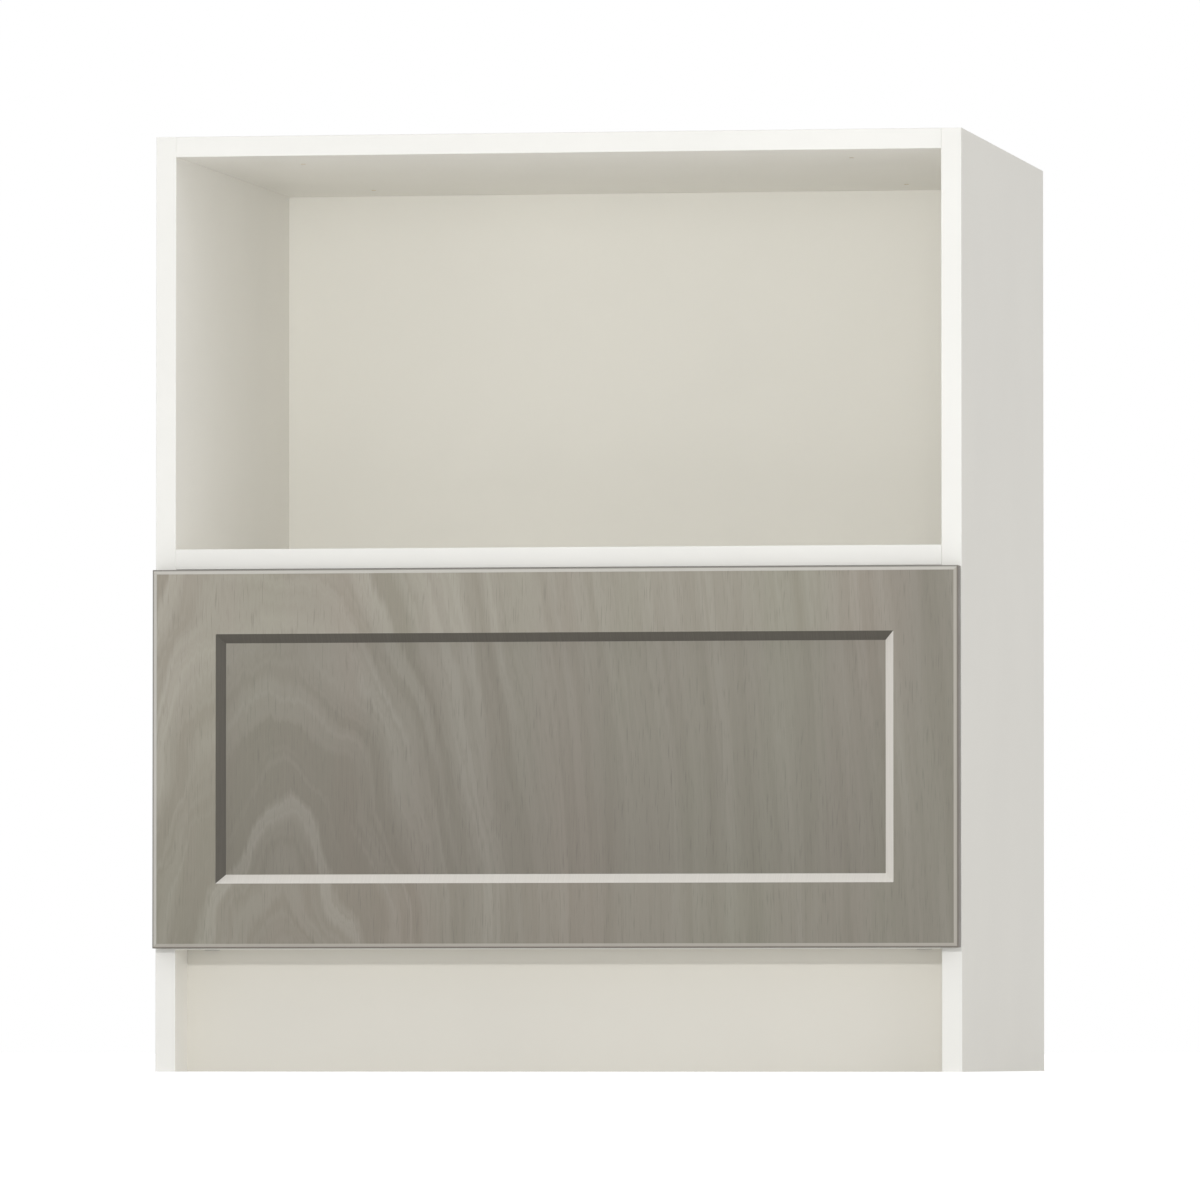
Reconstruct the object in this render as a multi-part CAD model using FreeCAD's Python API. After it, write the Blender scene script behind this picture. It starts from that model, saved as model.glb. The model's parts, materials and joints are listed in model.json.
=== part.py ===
"""Microwave base cabinet: an open bay above one deep drawer, sizes in millimetres.

A flat-pack carcass of faced board is pulled together by cam locks and dowels. A grooved back
and three nailers stiffen it. A dovetailed drawer box runs on ball-bearing side runners and
carries one wide routed front. X points right, Y points to the back and Z points up. The origin
is on the floor, below the middle of the cabinet.
"""

import FreeCAD
import Part
import math
import os

V = FreeCAD.Vector

# Overall size: a 30 inch wide, 34.5 inch high, 24 inch deep base unit
CABINET_WIDTH = 762.0
CABINET_HEIGHT = 876.3
CABINET_DEPTH = 609.6

# Carcass boards
BOARD = 19.05
EDGE_BAND = 1.0
EDGE_BAND_EASE = 0.5
TOE_HEIGHT = 114.3
TOE_RECESS = 57.15
BAY_HEIGHT = 368.3
BACK_THICKNESS = 6.35
BACK_GROOVE_DEPTH = 8.0
BACK_GROOVE_PLAY = 0.15
BACK_GROOVE_REST = 0.5
NAILER_HEIGHT = 101.6

# Small fittings are cut with flat sides, so that the many repeats stay light
FITTING_SIDES = 6
CAM_SIDES = 10
CUT_OVERRUN = 1.0

# Cam locks, cam bolts and dowels
CAM_RADIUS = 7.4
CAM_PLAY = 0.1
CAM_SUNK = 0.2
CAM_BELOW_BOLT = 4.2
CAM_FLOOR_PLAY = 0.3
CAM_DISTANCE = 24.0
CAM_INSET = 60.0
BOLT_HEAD_RADIUS = 3.6
BOLT_HEAD_PLAY = 0.2
BOLT_SHANK_RADIUS = 2.45
BOLT_THREAD = 11.0
BOLT_PLAY = 0.05
BOLT_BORE_RADIUS = 4.0
DOWEL_RADIUS = 3.95
DOWEL_PLAY = 0.05
DOWEL_IN_SIDE = 11.5
DOWEL_IN_BOARD = 18.0
DOWEL_PITCH = 32.0
HOLE_END_PLAY = 0.5

# Wood screws
SCREW_SHANK_RADIUS = 2.0
SCREW_HEAD_RADIUS = 4.0
SCREW_CROWN_RADIUS = 2.8
SCREW_PLAY = 0.05
SCREW_COVER = 4.0
NAILER_SCREW_BITE = 24.0
NAILER_SCREW_SPREAD = 240.0

# Worktop screw holes in the top panel
WORKTOP_HOLE_RADIUS = 2.5
WORKTOP_HOLE_SIDE_INSET = 100.0
WORKTOP_HOLE_END_INSET = 110.0

# Drawer front: one routed board with a bevelled sunk field and an eased rim
FRONT_THICKNESS = 19.05
FRONT_REVEAL = 0.8
FRONT_STANDOFF = 1.6
FRAME_WIDTH = 60.3
BEVEL_WIDTH = 8.6
FIELD_DEPTH = 9.0
RIM_WIDTH = 4.2
RIM_DEPTH = 1.6
BUMPER_RADIUS = 4.75
BUMPER_INSET = 30.0
BUMPER_ROUND = 0.5
BUMPER_PLAY = 0.05

# Drawer box
DRAWER_WALL = 15.875
DRAWER_BASE = 6.35
DRAWER_BASE_RISE = 9.5
DRAWER_BASE_GROOVE = 6.0
DRAWER_BASE_PLAY = 0.1
DRAWER_BASE_REST = 0.5
DRAWER_GAP_BELOW = 15.0
DRAWER_GAP_ABOVE = 42.15
TAIL_COUNT = 7
TAIL_SHARE = 0.55
TAIL_SLOPE = 1 / 7
FRONT_SCREW_BITE = 8.0
FRONT_SCREW_HEAD = 2.5
FRONT_SCREW_INSET = 12.0
FRONT_SCREW_DROP = 60.0

# Side runners: three nested steel channels with two rows of balls above and below
RUNNER_HEIGHT = 45.7
RUNNER_STEEL = 1.2
RUNNER_CORNER = 3.0
RUNNER_BEND = 1.8
RUNNER_SETBACK = 3.0
RUNNER_REAR_ROOM = 27.15
RUNNER_RISE = 76.2
BALL_RADIUS = 2.0
BALL_PLAY = 0.2
BALL_CAP_ANGLE = 54.0
BALL_STEP_ANGLE = 41.41
BALLS_PER_ROW = 3
CABINET_LIP_ANGLE = 25.0
MIDDLE_LIP_ANGLE = 35.0
DRAWER_LIP_ANGLE = 215.0
LIP_ROOM = 0.7
CAGE_STEEL = 0.5
CAGE_PLAY = 0.25
CAGE_LENGTH_SHARE = 0.44
CAGE_BALL_PLAY = 0.15
CAGE_LAND = 0.35
STOP_LENGTH = 9.0
STOP_HALF_HEIGHT = 10.0
STOP_PLAY = 0.3
RUNNER_SCREW_HEAD = 1.9
RUNNER_SCREW_FRONT = 37.0
RUNNER_SCREW_REAR = 62.0
RUNNER_SCREW_BITE = 12.0
RUNNER_SLOT_RADIUS = 2.3
RUNNER_SLOT_LENGTH = 9.0
RUNNER_SLOT_STEP = 32.0
ACCESS_HOLE_RADIUS = 6.5

# Release levers on the drawer runners
LEVER_EXPOSURE = 12.0
LEVER_REACH = 34.0
LEVER_TAIL = 13.0
LEVER_THICKNESS = 2.4
LEVER_HUB_RADIUS = 5.0
LEVER_TIP_RADIUS = 3.4
LEVER_TAIL_RADIUS = 2.6
LEVER_PAD = 2.6
LEVER_PLAY = 0.2
LEVER_SCREW_GAP = 34.0
RIVET_RADIUS = 2.0
RIVET_PLAY = 0.06
RIVET_HEAD_RADIUS = 3.6
RIVET_HEAD = 0.9

# Section of the runners: u runs from the cabinet side to the drawer, v runs up from the middle
RACE_RADIUS = BALL_RADIUS + BALL_PLAY
RACE_BACK = RACE_RADIUS + RUNNER_STEEL
BALL_STEP_ACROSS = (RACE_RADIUS + RACE_BACK) * math.cos(math.radians(BALL_STEP_ANGLE))
BALL_STEP_DOWN = (RACE_RADIUS + RACE_BACK) * math.sin(math.radians(BALL_STEP_ANGLE))
HALF_RUNNER = RUNNER_HEIGHT / 2
OUTER_CAGE_WEB = RUNNER_STEEL + CAGE_PLAY
MIDDLE_WEB = OUTER_CAGE_WEB + CAGE_STEEL + CAGE_PLAY
INNER_CAGE_WEB = MIDDLE_WEB + RUNNER_STEEL + CAGE_PLAY
OUTER_BALL = (MIDDLE_WEB + RACE_RADIUS, HALF_RUNNER - RACE_BACK)
INNER_BALL = (OUTER_BALL[0] + BALL_STEP_ACROSS, OUTER_BALL[1] - BALL_STEP_DOWN)
RUNNER_THICKNESS = INNER_BALL[0] + RACE_BACK + LIP_ROOM
DRAWER_WEB = RUNNER_THICKNESS - RUNNER_STEEL
LEVER_BACK = DRAWER_WEB - LEVER_PLAY
LEVER_FACE = LEVER_BACK - LEVER_THICKNESS

# Planes of the carcass
HALF_WIDTH = CABINET_WIDTH / 2
BAY_HALF = HALF_WIDTH - BOARD
REAR = CABINET_DEPTH / 2
FRONT_FACE = -CABINET_DEPTH / 2
FRONT_BACK = FRONT_FACE + FRONT_THICKNESS
CARCASS_FRONT = FRONT_BACK + FRONT_STANDOFF
BOARD_FRONT = CARCASS_FRONT + EDGE_BAND
NAILER_FRONT = REAR - BOARD
NAILER_MIDDLE = REAR - BOARD / 2
BACK_FRONT = NAILER_FRONT - BACK_THICKNESS
TOP_UNDER = CABINET_HEIGHT - BOARD
SHELF_TOP = TOP_UNDER - BAY_HEIGHT
SHELF_UNDER = SHELF_TOP - BOARD
DECK_TOP = TOE_HEIGHT + BOARD
TOE_FRONT = CARCASS_FRONT + TOE_RECESS

# Planes of the drawer and its runners
FRONT_HALF = HALF_WIDTH - FRONT_REVEAL
FRONT_LOW = TOE_HEIGHT + FRONT_REVEAL
FRONT_HIGH = SHELF_UNDER - FRONT_REVEAL
RUNNER_FRONT = CARCASS_FRONT + RUNNER_SETBACK
RUNNER_REAR = BACK_FRONT - RUNNER_REAR_ROOM
RUNNER_LENGTH = RUNNER_REAR - RUNNER_FRONT
BOX_HALF = BAY_HALF - RUNNER_THICKNESS
BOX_INNER = BOX_HALF - DRAWER_WALL
BOX_FRONT = FRONT_BACK
BOX_REAR = RUNNER_REAR
BOX_LOW = DECK_TOP + DRAWER_GAP_BELOW
BOX_HIGH = SHELF_UNDER - DRAWER_GAP_ABOVE
BASE_LOW = BOX_LOW + DRAWER_BASE_RISE
BASE_HIGH = BASE_LOW + DRAWER_BASE
RUNNER_MIDDLE = BOX_LOW + RUNNER_RISE

# A fully open drawer's runners stand half clear of the middle ones, and a finger reaches the levers there
CLEAR_RUNNER_END = RUNNER_FRONT + RUNNER_LENGTH / 2
LEVER_PIVOT = CLEAR_RUNNER_END - LEVER_EXPOSURE

SIDES = {"left": -1, "right": 1}
UP = V(0, 0, 1)
DOWN = V(0, 0, -1)
BACKWARD = V(0, 1, 0)
FORWARD = V(0, -1, 0)


# Shapes used by many pieces
def block(x, y, z):
    """A box between two values on each axis."""
    size = [abs(b - a) for a, b in (x, y, z)]
    return Part.makeBox(*size, V(min(x), min(y), min(z)))


def polygon_face(corners):
    """A flat face inside a closed run of corners."""
    return Part.Face(Part.makePolygon([*corners, corners[0]]))


def rod(point, direction, radius, length):
    """A true cylinder that starts at a point."""
    return Part.makeCylinder(radius, length, point, direction)


def turned(point, direction, profile, sides=FITTING_SIDES):
    """A many-sided solid on an axis through a point: rings at (distance, radius), joined by flats."""
    across = V(1, 0, 0) if abs(direction.z) > 0.5 else UP
    beyond = direction.cross(across)
    turns = [2 * math.pi * number / sides for number in range(sides)]
    spokes = [across * math.cos(turn) + beyond * math.sin(turn) for turn in turns]
    rings = []
    for along, radius in profile:
        centre = point + direction * along
        rings.append([centre + spoke * radius for spoke in spokes])
    faces = [polygon_face(rings[0]), polygon_face(rings[-1])]
    for near, far in zip(rings, rings[1:]):
        for number in range(sides):
            faces.append(polygon_face([near[number - 1], near[number], far[number], far[number - 1]]))
    return Part.makeSolid(Part.makeShell(faces)).removeSplitter()


def bar(point, direction, radius, length, sides=FITTING_SIDES):
    """A straight many-sided bar that starts at a point."""
    return turned(point, direction, [(0.0, radius), (length, radius)], sides)


def sunk_screw(point, direction, length, play=0.0):
    """A countersunk wood screw whose flat head lies at a point, or its hole where play is given."""
    head = SCREW_HEAD_RADIUS + play
    shank = SCREW_SHANK_RADIUS + play
    return turned(point, direction, [(0.0, head), (head - shank, shank), (length + play, shank)])


def round_head_screw(point, direction, head, length):
    """A round-head wood screw whose head seats at a point."""
    steps = [
        (-head, SCREW_CROWN_RADIUS),
        (-head / 2, SCREW_HEAD_RADIUS),
        (0.0, SCREW_HEAD_RADIUS),
        (0.0, SCREW_SHANK_RADIUS),
        (length, SCREW_SHANK_RADIUS),
    ]
    return turned(point, direction, steps)


def screw_hole(point, direction, length):
    """The straight hole of a round-head screw."""
    start = point - direction * SCREW_PLAY
    return bar(start, direction, SCREW_SHANK_RADIUS + SCREW_PLAY, length + 2 * SCREW_PLAY)


def upright_rectangle(half, low, high, y):
    """A rectangle that faces front, centred on the cabinet's width."""
    corners = [V(-half, y, low), V(half, y, low), V(half, y, high), V(-half, y, high)]
    return Part.makePolygon([*corners, corners[0]])


def tapered_prism(big, small, y_big, y_small):
    """A solid between two front-facing rectangles, each given as half width, low and high."""
    return Part.makeLoft([upright_rectangle(*big, y_big), upright_rectangle(*small, y_small)], True, True)


def inset(rectangle, amount):
    """A front-facing rectangle drawn in by the same amount on all four sides."""
    half, low, high = rectangle
    return half - amount, low + amount, high - amount


# Knock-down joints between the side panels and the boards between them
def level_joints(board_middle, cam_face, rear):
    """Front and rear cam and dowel places at both ends of a level board."""
    front_cam = BOARD_FRONT + CAM_INSET
    rear_cam = rear - CAM_INSET
    rows = ((front_cam, front_cam + DOWEL_PITCH), (rear_cam, rear_cam - DOWEL_PITCH))
    joints = []
    for side in SIDES.values():
        for cam_y, dowel_y in rows:
            cam = V(side * BAY_HALF, cam_y, board_middle)
            dowel_place = V(side * BAY_HALF, dowel_y, board_middle)
            joints.append((side, cam, dowel_place, cam_face))
    return joints


def toe_joints():
    """One cam and one dowel at each end of the upright toe-kick board."""
    middle = TOE_FRONT + BOARD / 2
    joints = []
    for side in SIDES.values():
        cam = V(side * BAY_HALF, middle, TOE_HEIGHT * 2 / 3)
        dowel_place = V(side * BAY_HALF, middle, TOE_HEIGHT / 3)
        joints.append((side, cam, dowel_place, BACKWARD))
    return joints


BOARD_JOINTS = {
    "top_panel": level_joints(TOP_UNDER + BOARD / 2, UP, REAR),
    "microwave_shelf": level_joints(SHELF_UNDER + BOARD / 2, DOWN, BACK_FRONT),
    "bottom_panel": level_joints(TOE_HEIGHT + BOARD / 2, DOWN, BACK_FRONT),
    "toe_kick_board": toe_joints(),
}
ALL_JOINTS = [joint for joints in BOARD_JOINTS.values() for joint in joints]
NAILER_LEVELS = {
    "top_nailer": TOP_UNDER - NAILER_HEIGHT / 2,
    "middle_nailer": SHELF_UNDER + BOARD / 2,
    "bottom_nailer": TOE_HEIGHT + NAILER_HEIGHT / 2,
}
NAILER_BOARDS = {
    "top_nailer": "top_panel",
    "middle_nailer": "microwave_shelf",
    "bottom_nailer": "bottom_panel",
}


def cam_lock(joint):
    """A round cam with a pocket for the bolt's head and a slot for its neck."""
    side, point, _, face = joint
    centre = point + V(-side * CAM_DISTANCE, 0, 0)
    rim = BOARD / 2 - CAM_SUNK
    body = bar(centre + face * rim, face * -1, CAM_RADIUS, rim + CAM_BELOW_BOLT, CAM_SIDES)
    pocket = BOLT_HEAD_RADIUS + BOLT_HEAD_PLAY
    slot = BOLT_SHANK_RADIUS + BOLT_HEAD_PLAY
    steps = [(-pocket, slot), (0.0, pocket), (pocket, slot), (CAM_RADIUS + CUT_OVERRUN, slot)]
    return body.cut(turned(centre, V(side, 0, 0), steps))


def cam_bolt(joint):
    """A bolt screwed into the side panel, with a round head in the cam's pocket."""
    side, point, _, _ = joint
    steps = [
        (-BOLT_THREAD, BOLT_SHANK_RADIUS),
        (CAM_DISTANCE - BOLT_HEAD_RADIUS, BOLT_SHANK_RADIUS),
        (CAM_DISTANCE, BOLT_HEAD_RADIUS),
        (CAM_DISTANCE + BOLT_HEAD_RADIUS, BOLT_SHANK_RADIUS),
    ]
    return turned(point, V(-side, 0, 0), steps)


def dowel(side, point):
    """A wooden dowel that bridges a side panel and the end of a board."""
    start = point + V(side * DOWEL_IN_SIDE, 0, 0)
    return bar(start, V(-side, 0, 0), DOWEL_RADIUS, DOWEL_IN_SIDE + DOWEL_IN_BOARD)


def nailer_dowel_places():
    """One dowel at each end of each nailer: (nailer, side, point)."""
    return [
        (name, side, V(side * BAY_HALF, NAILER_MIDDLE, level))
        for name, level in NAILER_LEVELS.items()
        for side in SIDES.values()
    ]


def dowel_hole_in_side(side, point):
    """The blind hole that a dowel takes in a side panel."""
    return bar(point, V(side, 0, 0), DOWEL_RADIUS + DOWEL_PLAY, DOWEL_IN_SIDE + HOLE_END_PLAY)


def dowel_hole_in_end(side, point):
    """The blind hole that a dowel takes in the end of a board."""
    return bar(point, V(-side, 0, 0), DOWEL_RADIUS + DOWEL_PLAY, DOWEL_IN_BOARD + HOLE_END_PLAY)


def bolt_hole_in_side(side, point):
    """The blind hole that a cam bolt screws into."""
    return bar(point, V(side, 0, 0), BOLT_SHANK_RADIUS + BOLT_PLAY, BOLT_THREAD + HOLE_END_PLAY)


def joint_holes_in_board(joint):
    """Cam hole, bolt bore and dowel hole of one joint, in the board that carries the cam."""
    side, point, dowel_point, face = joint
    centre = point + V(-side * CAM_DISTANCE, 0, 0)
    depth = BOARD / 2 + CAM_BELOW_BOLT + CAM_FLOOR_PLAY
    cam_hole = bar(centre + face * (BOARD / 2), face * -1, CAM_RADIUS + CAM_PLAY, depth, CAM_SIDES)
    bore = bar(point, V(-side, 0, 0), BOLT_BORE_RADIUS, CAM_DISTANCE)
    return [cam_hole, bore, dowel_hole_in_end(side, dowel_point)]


def nailer_screws_of(name, play=0.0):
    """Three screws that tie a nailer to the board beside it, or their holes where play is given."""
    screws = []
    for step in (-1, 0, 1):
        x = step * NAILER_SCREW_SPREAD
        if name == "top_nailer":
            head = V(x, NAILER_MIDDLE, CABINET_HEIGHT)
            screws.append(sunk_screw(head, DOWN, BOARD + NAILER_SCREW_BITE, play))
        else:
            board_low = {"middle_nailer": SHELF_UNDER, "bottom_nailer": TOE_HEIGHT}[name]
            head = V(x, REAR, board_low + BOARD / 2)
            length = BOARD + BACK_THICKNESS + NAILER_SCREW_BITE
            screws.append(sunk_screw(head, FORWARD, length, play))
    return screws


# Carcass boards
def runner_screw_places():
    """Distances back from the front of the runners where screws fix them, one of them before the lever."""
    lever_front = LEVER_PIVOT - LEVER_REACH - RUNNER_FRONT
    return RUNNER_SCREW_FRONT, lever_front - LEVER_SCREW_GAP, RUNNER_LENGTH - RUNNER_SCREW_REAR


def cabinet_runner_screw(side, along, play=0.0):
    """A flat-head screw through the cabinet runner's web into the side panel, or its hole."""
    head = V(side * (BAY_HALF - RUNNER_STEEL), RUNNER_FRONT + along, RUNNER_MIDDLE)
    return sunk_screw(head, V(side, 0, 0), RUNNER_STEEL + RUNNER_SCREW_BITE, play)


def side_panel(side):
    """A full-height side panel with its groove and all the holes in its inner face."""
    panel = block((side * BAY_HALF, side * HALF_WIDTH), (BOARD_FRONT, REAR), (0, CABINET_HEIGHT))
    groove_x = (side * (BAY_HALF - CUT_OVERRUN), side * (BAY_HALF + BACK_GROOVE_DEPTH))
    groove_y = (BACK_FRONT - BACK_GROOVE_PLAY, NAILER_FRONT + BACK_GROOVE_PLAY)
    groove_top = TOP_UNDER + BACK_GROOVE_DEPTH
    cuts = [block(groove_x, groove_y, (-CUT_OVERRUN, groove_top))]
    for joint_side, point, dowel_point, _ in ALL_JOINTS:
        if joint_side == side:
            cuts.append(bolt_hole_in_side(side, point))
            cuts.append(dowel_hole_in_side(side, dowel_point))
    for _, dowel_side, point in nailer_dowel_places():
        if dowel_side == side:
            cuts.append(dowel_hole_in_side(side, point))
    for along in runner_screw_places():
        cuts.append(cabinet_runner_screw(side, along, SCREW_PLAY))
    return panel.cut(cuts)


def level_board(name, low, rear):
    """A level board between the side panels, with its joint holes and nailer screw holes."""
    board = block((-BAY_HALF, BAY_HALF), (BOARD_FRONT, rear), (low, low + BOARD))
    cuts = [hole for joint in BOARD_JOINTS[name] for hole in joint_holes_in_board(joint)]
    for nailer_name, board_name in NAILER_BOARDS.items():
        if board_name == name:
            cuts += nailer_screws_of(nailer_name, SCREW_PLAY)
    return board.cut(cuts)


def worktop_holes():
    """Four through holes in the top panel for the screws that hold a worktop."""
    x = BAY_HALF - WORKTOP_HOLE_SIDE_INSET
    rows = (BOARD_FRONT + WORKTOP_HOLE_END_INSET, REAR - WORKTOP_HOLE_END_INSET)
    low = TOP_UNDER - CUT_OVERRUN
    length = BOARD + 2 * CUT_OVERRUN
    return [
        rod(V(side * x, y, low), UP, WORKTOP_HOLE_RADIUS, length)
        for side in SIDES.values()
        for y in rows
    ]


def top_panel():
    """The top board, with a groove for the back panel and holes for worktop screws."""
    groove = block(
        (-BAY_HALF - CUT_OVERRUN, BAY_HALF + CUT_OVERRUN),
        (BACK_FRONT - BACK_GROOVE_PLAY, NAILER_FRONT + BACK_GROOVE_PLAY),
        (TOP_UNDER - CUT_OVERRUN, TOP_UNDER + BACK_GROOVE_DEPTH),
    )
    return level_board("top_panel", TOP_UNDER, REAR).cut([groove, *worktop_holes()])


def back_panel():
    """The thin back, let into grooves at both sides and at the top."""
    reach = BACK_GROOVE_DEPTH - BACK_GROOVE_REST
    half = BAY_HALF + reach
    panel = block((-half, half), (BACK_FRONT, NAILER_FRONT), (TOE_HEIGHT, TOP_UNDER + reach))
    holes = nailer_screws_of("middle_nailer", SCREW_PLAY) + nailer_screws_of("bottom_nailer", SCREW_PLAY)
    return panel.cut(holes)


def nailer(name):
    """A rail behind the back panel through which the cabinet is screwed to a wall."""
    level = NAILER_LEVELS[name]
    height = (level - NAILER_HEIGHT / 2, level + NAILER_HEIGHT / 2)
    rail = block((-BAY_HALF, BAY_HALF), (NAILER_FRONT, REAR), height)
    cuts = nailer_screws_of(name, SCREW_PLAY)
    for owner, side, point in nailer_dowel_places():
        if owner == name:
            cuts.append(dowel_hole_in_end(side, point))
    return rail.cut(cuts)


def toe_kick_board():
    """The set-back board between the side panels that closes the foot of the cabinet."""
    board = block((-BAY_HALF, BAY_HALF), (TOE_FRONT, TOE_FRONT + BOARD), (0, TOE_HEIGHT))
    holes = [hole for joint in BOARD_JOINTS["toe_kick_board"] for hole in joint_holes_in_board(joint)]
    return board.cut(holes)


def edge_band(x, z):
    """A plastic strip on a board's front edge, with its two long front corners eased."""
    strip = block(x, (CARCASS_FRONT, BOARD_FRONT), z)
    upright = abs(z[1] - z[0]) > abs(x[1] - x[0])
    along = UP if upright else V(1, 0, 0)
    corners = []
    for edge in strip.Edges:
        start, end = (vertex.Point for vertex in edge.Vertexes)
        at_front = max(start.y, end.y) < CARCASS_FRONT + EDGE_BAND / 2
        if at_front and abs((end - start).normalize() * along) > 0.9:
            corners.append(edge)
    return strip.makeChamfer(min(EDGE_BAND_EASE, EDGE_BAND / 2), corners)


# Drawer front, box and what holds them together
def front_screw_places():
    """Four screws near the corners of the drawer box, whose heads seat inside the box front."""
    x = BOX_INNER - FRONT_SCREW_INSET
    y = BOX_FRONT + DRAWER_WALL
    levels = (BASE_HIGH + FRONT_SCREW_DROP, BOX_HIGH - FRONT_SCREW_DROP)
    return [V(side * x, y, z) for side in SIDES.values() for z in levels]


def front_screw_holes():
    """The holes of those screws, through the box front and into the drawer front."""
    return [screw_hole(place, FORWARD, DRAWER_WALL + FRONT_SCREW_BITE) for place in front_screw_places()]


def drawer_front():
    """The routed front: an eased rim, a flat frame, a bevel and a sunk field."""
    outer = (FRONT_HALF, FRONT_LOW, FRONT_HIGH)
    rim_y = FRONT_FACE + RIM_DEPTH
    slab = tapered_prism(outer, outer, FRONT_BACK, rim_y)
    face = tapered_prism(outer, inset(outer, RIM_WIDTH), rim_y, FRONT_FACE)
    frame = inset(outer, FRAME_WIDTH)
    field = inset(frame, BEVEL_WIDTH)
    recess = tapered_prism(frame, field, FRONT_FACE, FRONT_FACE + FIELD_DEPTH)
    return slab.fuse(face).cut([recess, *front_screw_holes()]).removeSplitter()


def front_bumpers():
    """Soft discs on the back of the front that land on the edges of the side panels."""
    x = HALF_WIDTH - BOARD / 2
    thickness = FRONT_STANDOFF - BUMPER_PLAY
    steps = [
        (0.0, BUMPER_RADIUS),
        (thickness - BUMPER_ROUND, BUMPER_RADIUS),
        (thickness, BUMPER_RADIUS - BUMPER_ROUND),
    ]
    return [
        turned(V(side * x, FRONT_BACK, z), BACKWARD, steps)
        for side in SIDES.values()
        for z in (FRONT_LOW + BUMPER_INSET, FRONT_HIGH - BUMPER_INSET)
    ]


def tails(side, shoulder, end):
    """The dovetails on one end of a drawer side, flaring from the shoulder to the end."""
    pitch = (BOX_HIGH - BOX_LOW) / TAIL_COUNT
    narrow = pitch * TAIL_SHARE / 2
    wide = narrow + abs(end - shoulder) * TAIL_SLOPE
    x = side * BOX_INNER
    shapes = []
    for number in range(TAIL_COUNT):
        z = BOX_LOW + (number + 0.5) * pitch
        corners = [
            V(x, shoulder, z - narrow),
            V(x, end, z - wide),
            V(x, end, z + wide),
            V(x, shoulder, z + narrow),
        ]
        shapes.append(polygon_face(corners).extrude(V(side * DRAWER_WALL, 0, 0)))
    return shapes


def base_groove():
    """The groove that the drawer's base sits in, as one solid to cut from all four walls."""
    half = BOX_INNER + DRAWER_BASE_GROOVE
    depth = DRAWER_WALL - DRAWER_BASE_GROOVE
    return block(
        (-half, half),
        (BOX_FRONT + depth, BOX_REAR - depth),
        (BASE_LOW - DRAWER_BASE_PLAY, BASE_HIGH + DRAWER_BASE_PLAY),
    )


def drawer_base():
    """The thin board that is the drawer's floor, let into all four walls."""
    reach = DRAWER_BASE_GROOVE - DRAWER_BASE_REST
    half = BOX_INNER + reach
    depth = DRAWER_WALL - reach
    return block((-half, half), (BOX_FRONT + depth, BOX_REAR - depth), (BASE_LOW, BASE_HIGH))


def drawer_runner_screw_places(side):
    """Where the heads of the drawer runner's screws seat on its web."""
    x = side * (BAY_HALF - DRAWER_WEB)
    return [V(x, RUNNER_FRONT + along, RUNNER_MIDDLE) for along in runner_screw_places()]


def drawer_runner_screw_length():
    """These screws stop short of the drawer side's inner face."""
    return RUNNER_STEEL + DRAWER_WALL - SCREW_COVER


def drawer_runner_screw_holes(side):
    """The holes of those screws, through the runner's web and into the drawer side."""
    length = drawer_runner_screw_length()
    return [screw_hole(place, V(-side, 0, 0), length) for place in drawer_runner_screw_places(side)]


def drawer_side(side):
    """A drawer side with dovetails at both ends, a groove for the base and runner screw holes."""
    shoulders = (BOX_FRONT + DRAWER_WALL, BOX_REAR - DRAWER_WALL)
    board = block((side * BOX_INNER, side * BOX_HALF), shoulders, (BOX_LOW, BOX_HIGH))
    joints = tails(side, shoulders[0], BOX_FRONT) + tails(side, shoulders[1], BOX_REAR)
    cuts = [base_groove(), *drawer_runner_screw_holes(side)]
    return board.fuse(joints).cut(cuts).removeSplitter()


def drawer_end(outside, inside):
    """The front or back wall of the drawer box, with sockets for the sides' dovetails."""
    board = block((-BOX_HALF, BOX_HALF), (outside, inside), (BOX_LOW, BOX_HIGH))
    cuts = [tail for side in SIDES.values() for tail in tails(side, inside, outside)]
    return board.cut([base_groove(), *cuts])


# Side runners
def polar(centre, radius, angle):
    """A point on a circle of the section."""
    turn = math.radians(angle)
    return centre[0] + radius * math.cos(turn), centre[1] + radius * math.sin(turn)


class RunnerSection:
    """The upper half of a channel's section, drawn edge by edge and extruded with its mirror."""

    def __init__(self, side):
        self.side = side
        self.edges = []

    def point(self, u, v):
        return V(self.side * (BAY_HALF - u), 0, RUNNER_MIDDLE + v)

    def line(self, start, end):
        self.edges.append(Part.LineSegment(self.point(*start), self.point(*end)).toShape())

    def arc(self, centre, radius, start, end):
        places = [polar(centre, radius, angle) for angle in (start, (start + end) / 2, end)]
        self.edges.append(Part.Arc(*[self.point(*place) for place in places]).toShape())

    def channel(self, front, rear):
        lower = [edge.mirror(self.point(0, 0), UP) for edge in self.edges]
        face = Part.Face(Part.Wire(Part.__sortEdges__(self.edges + lower)))
        face.translate(V(0, front, 0))
        return face.extrude(V(0, rear - front, 0))


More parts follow.
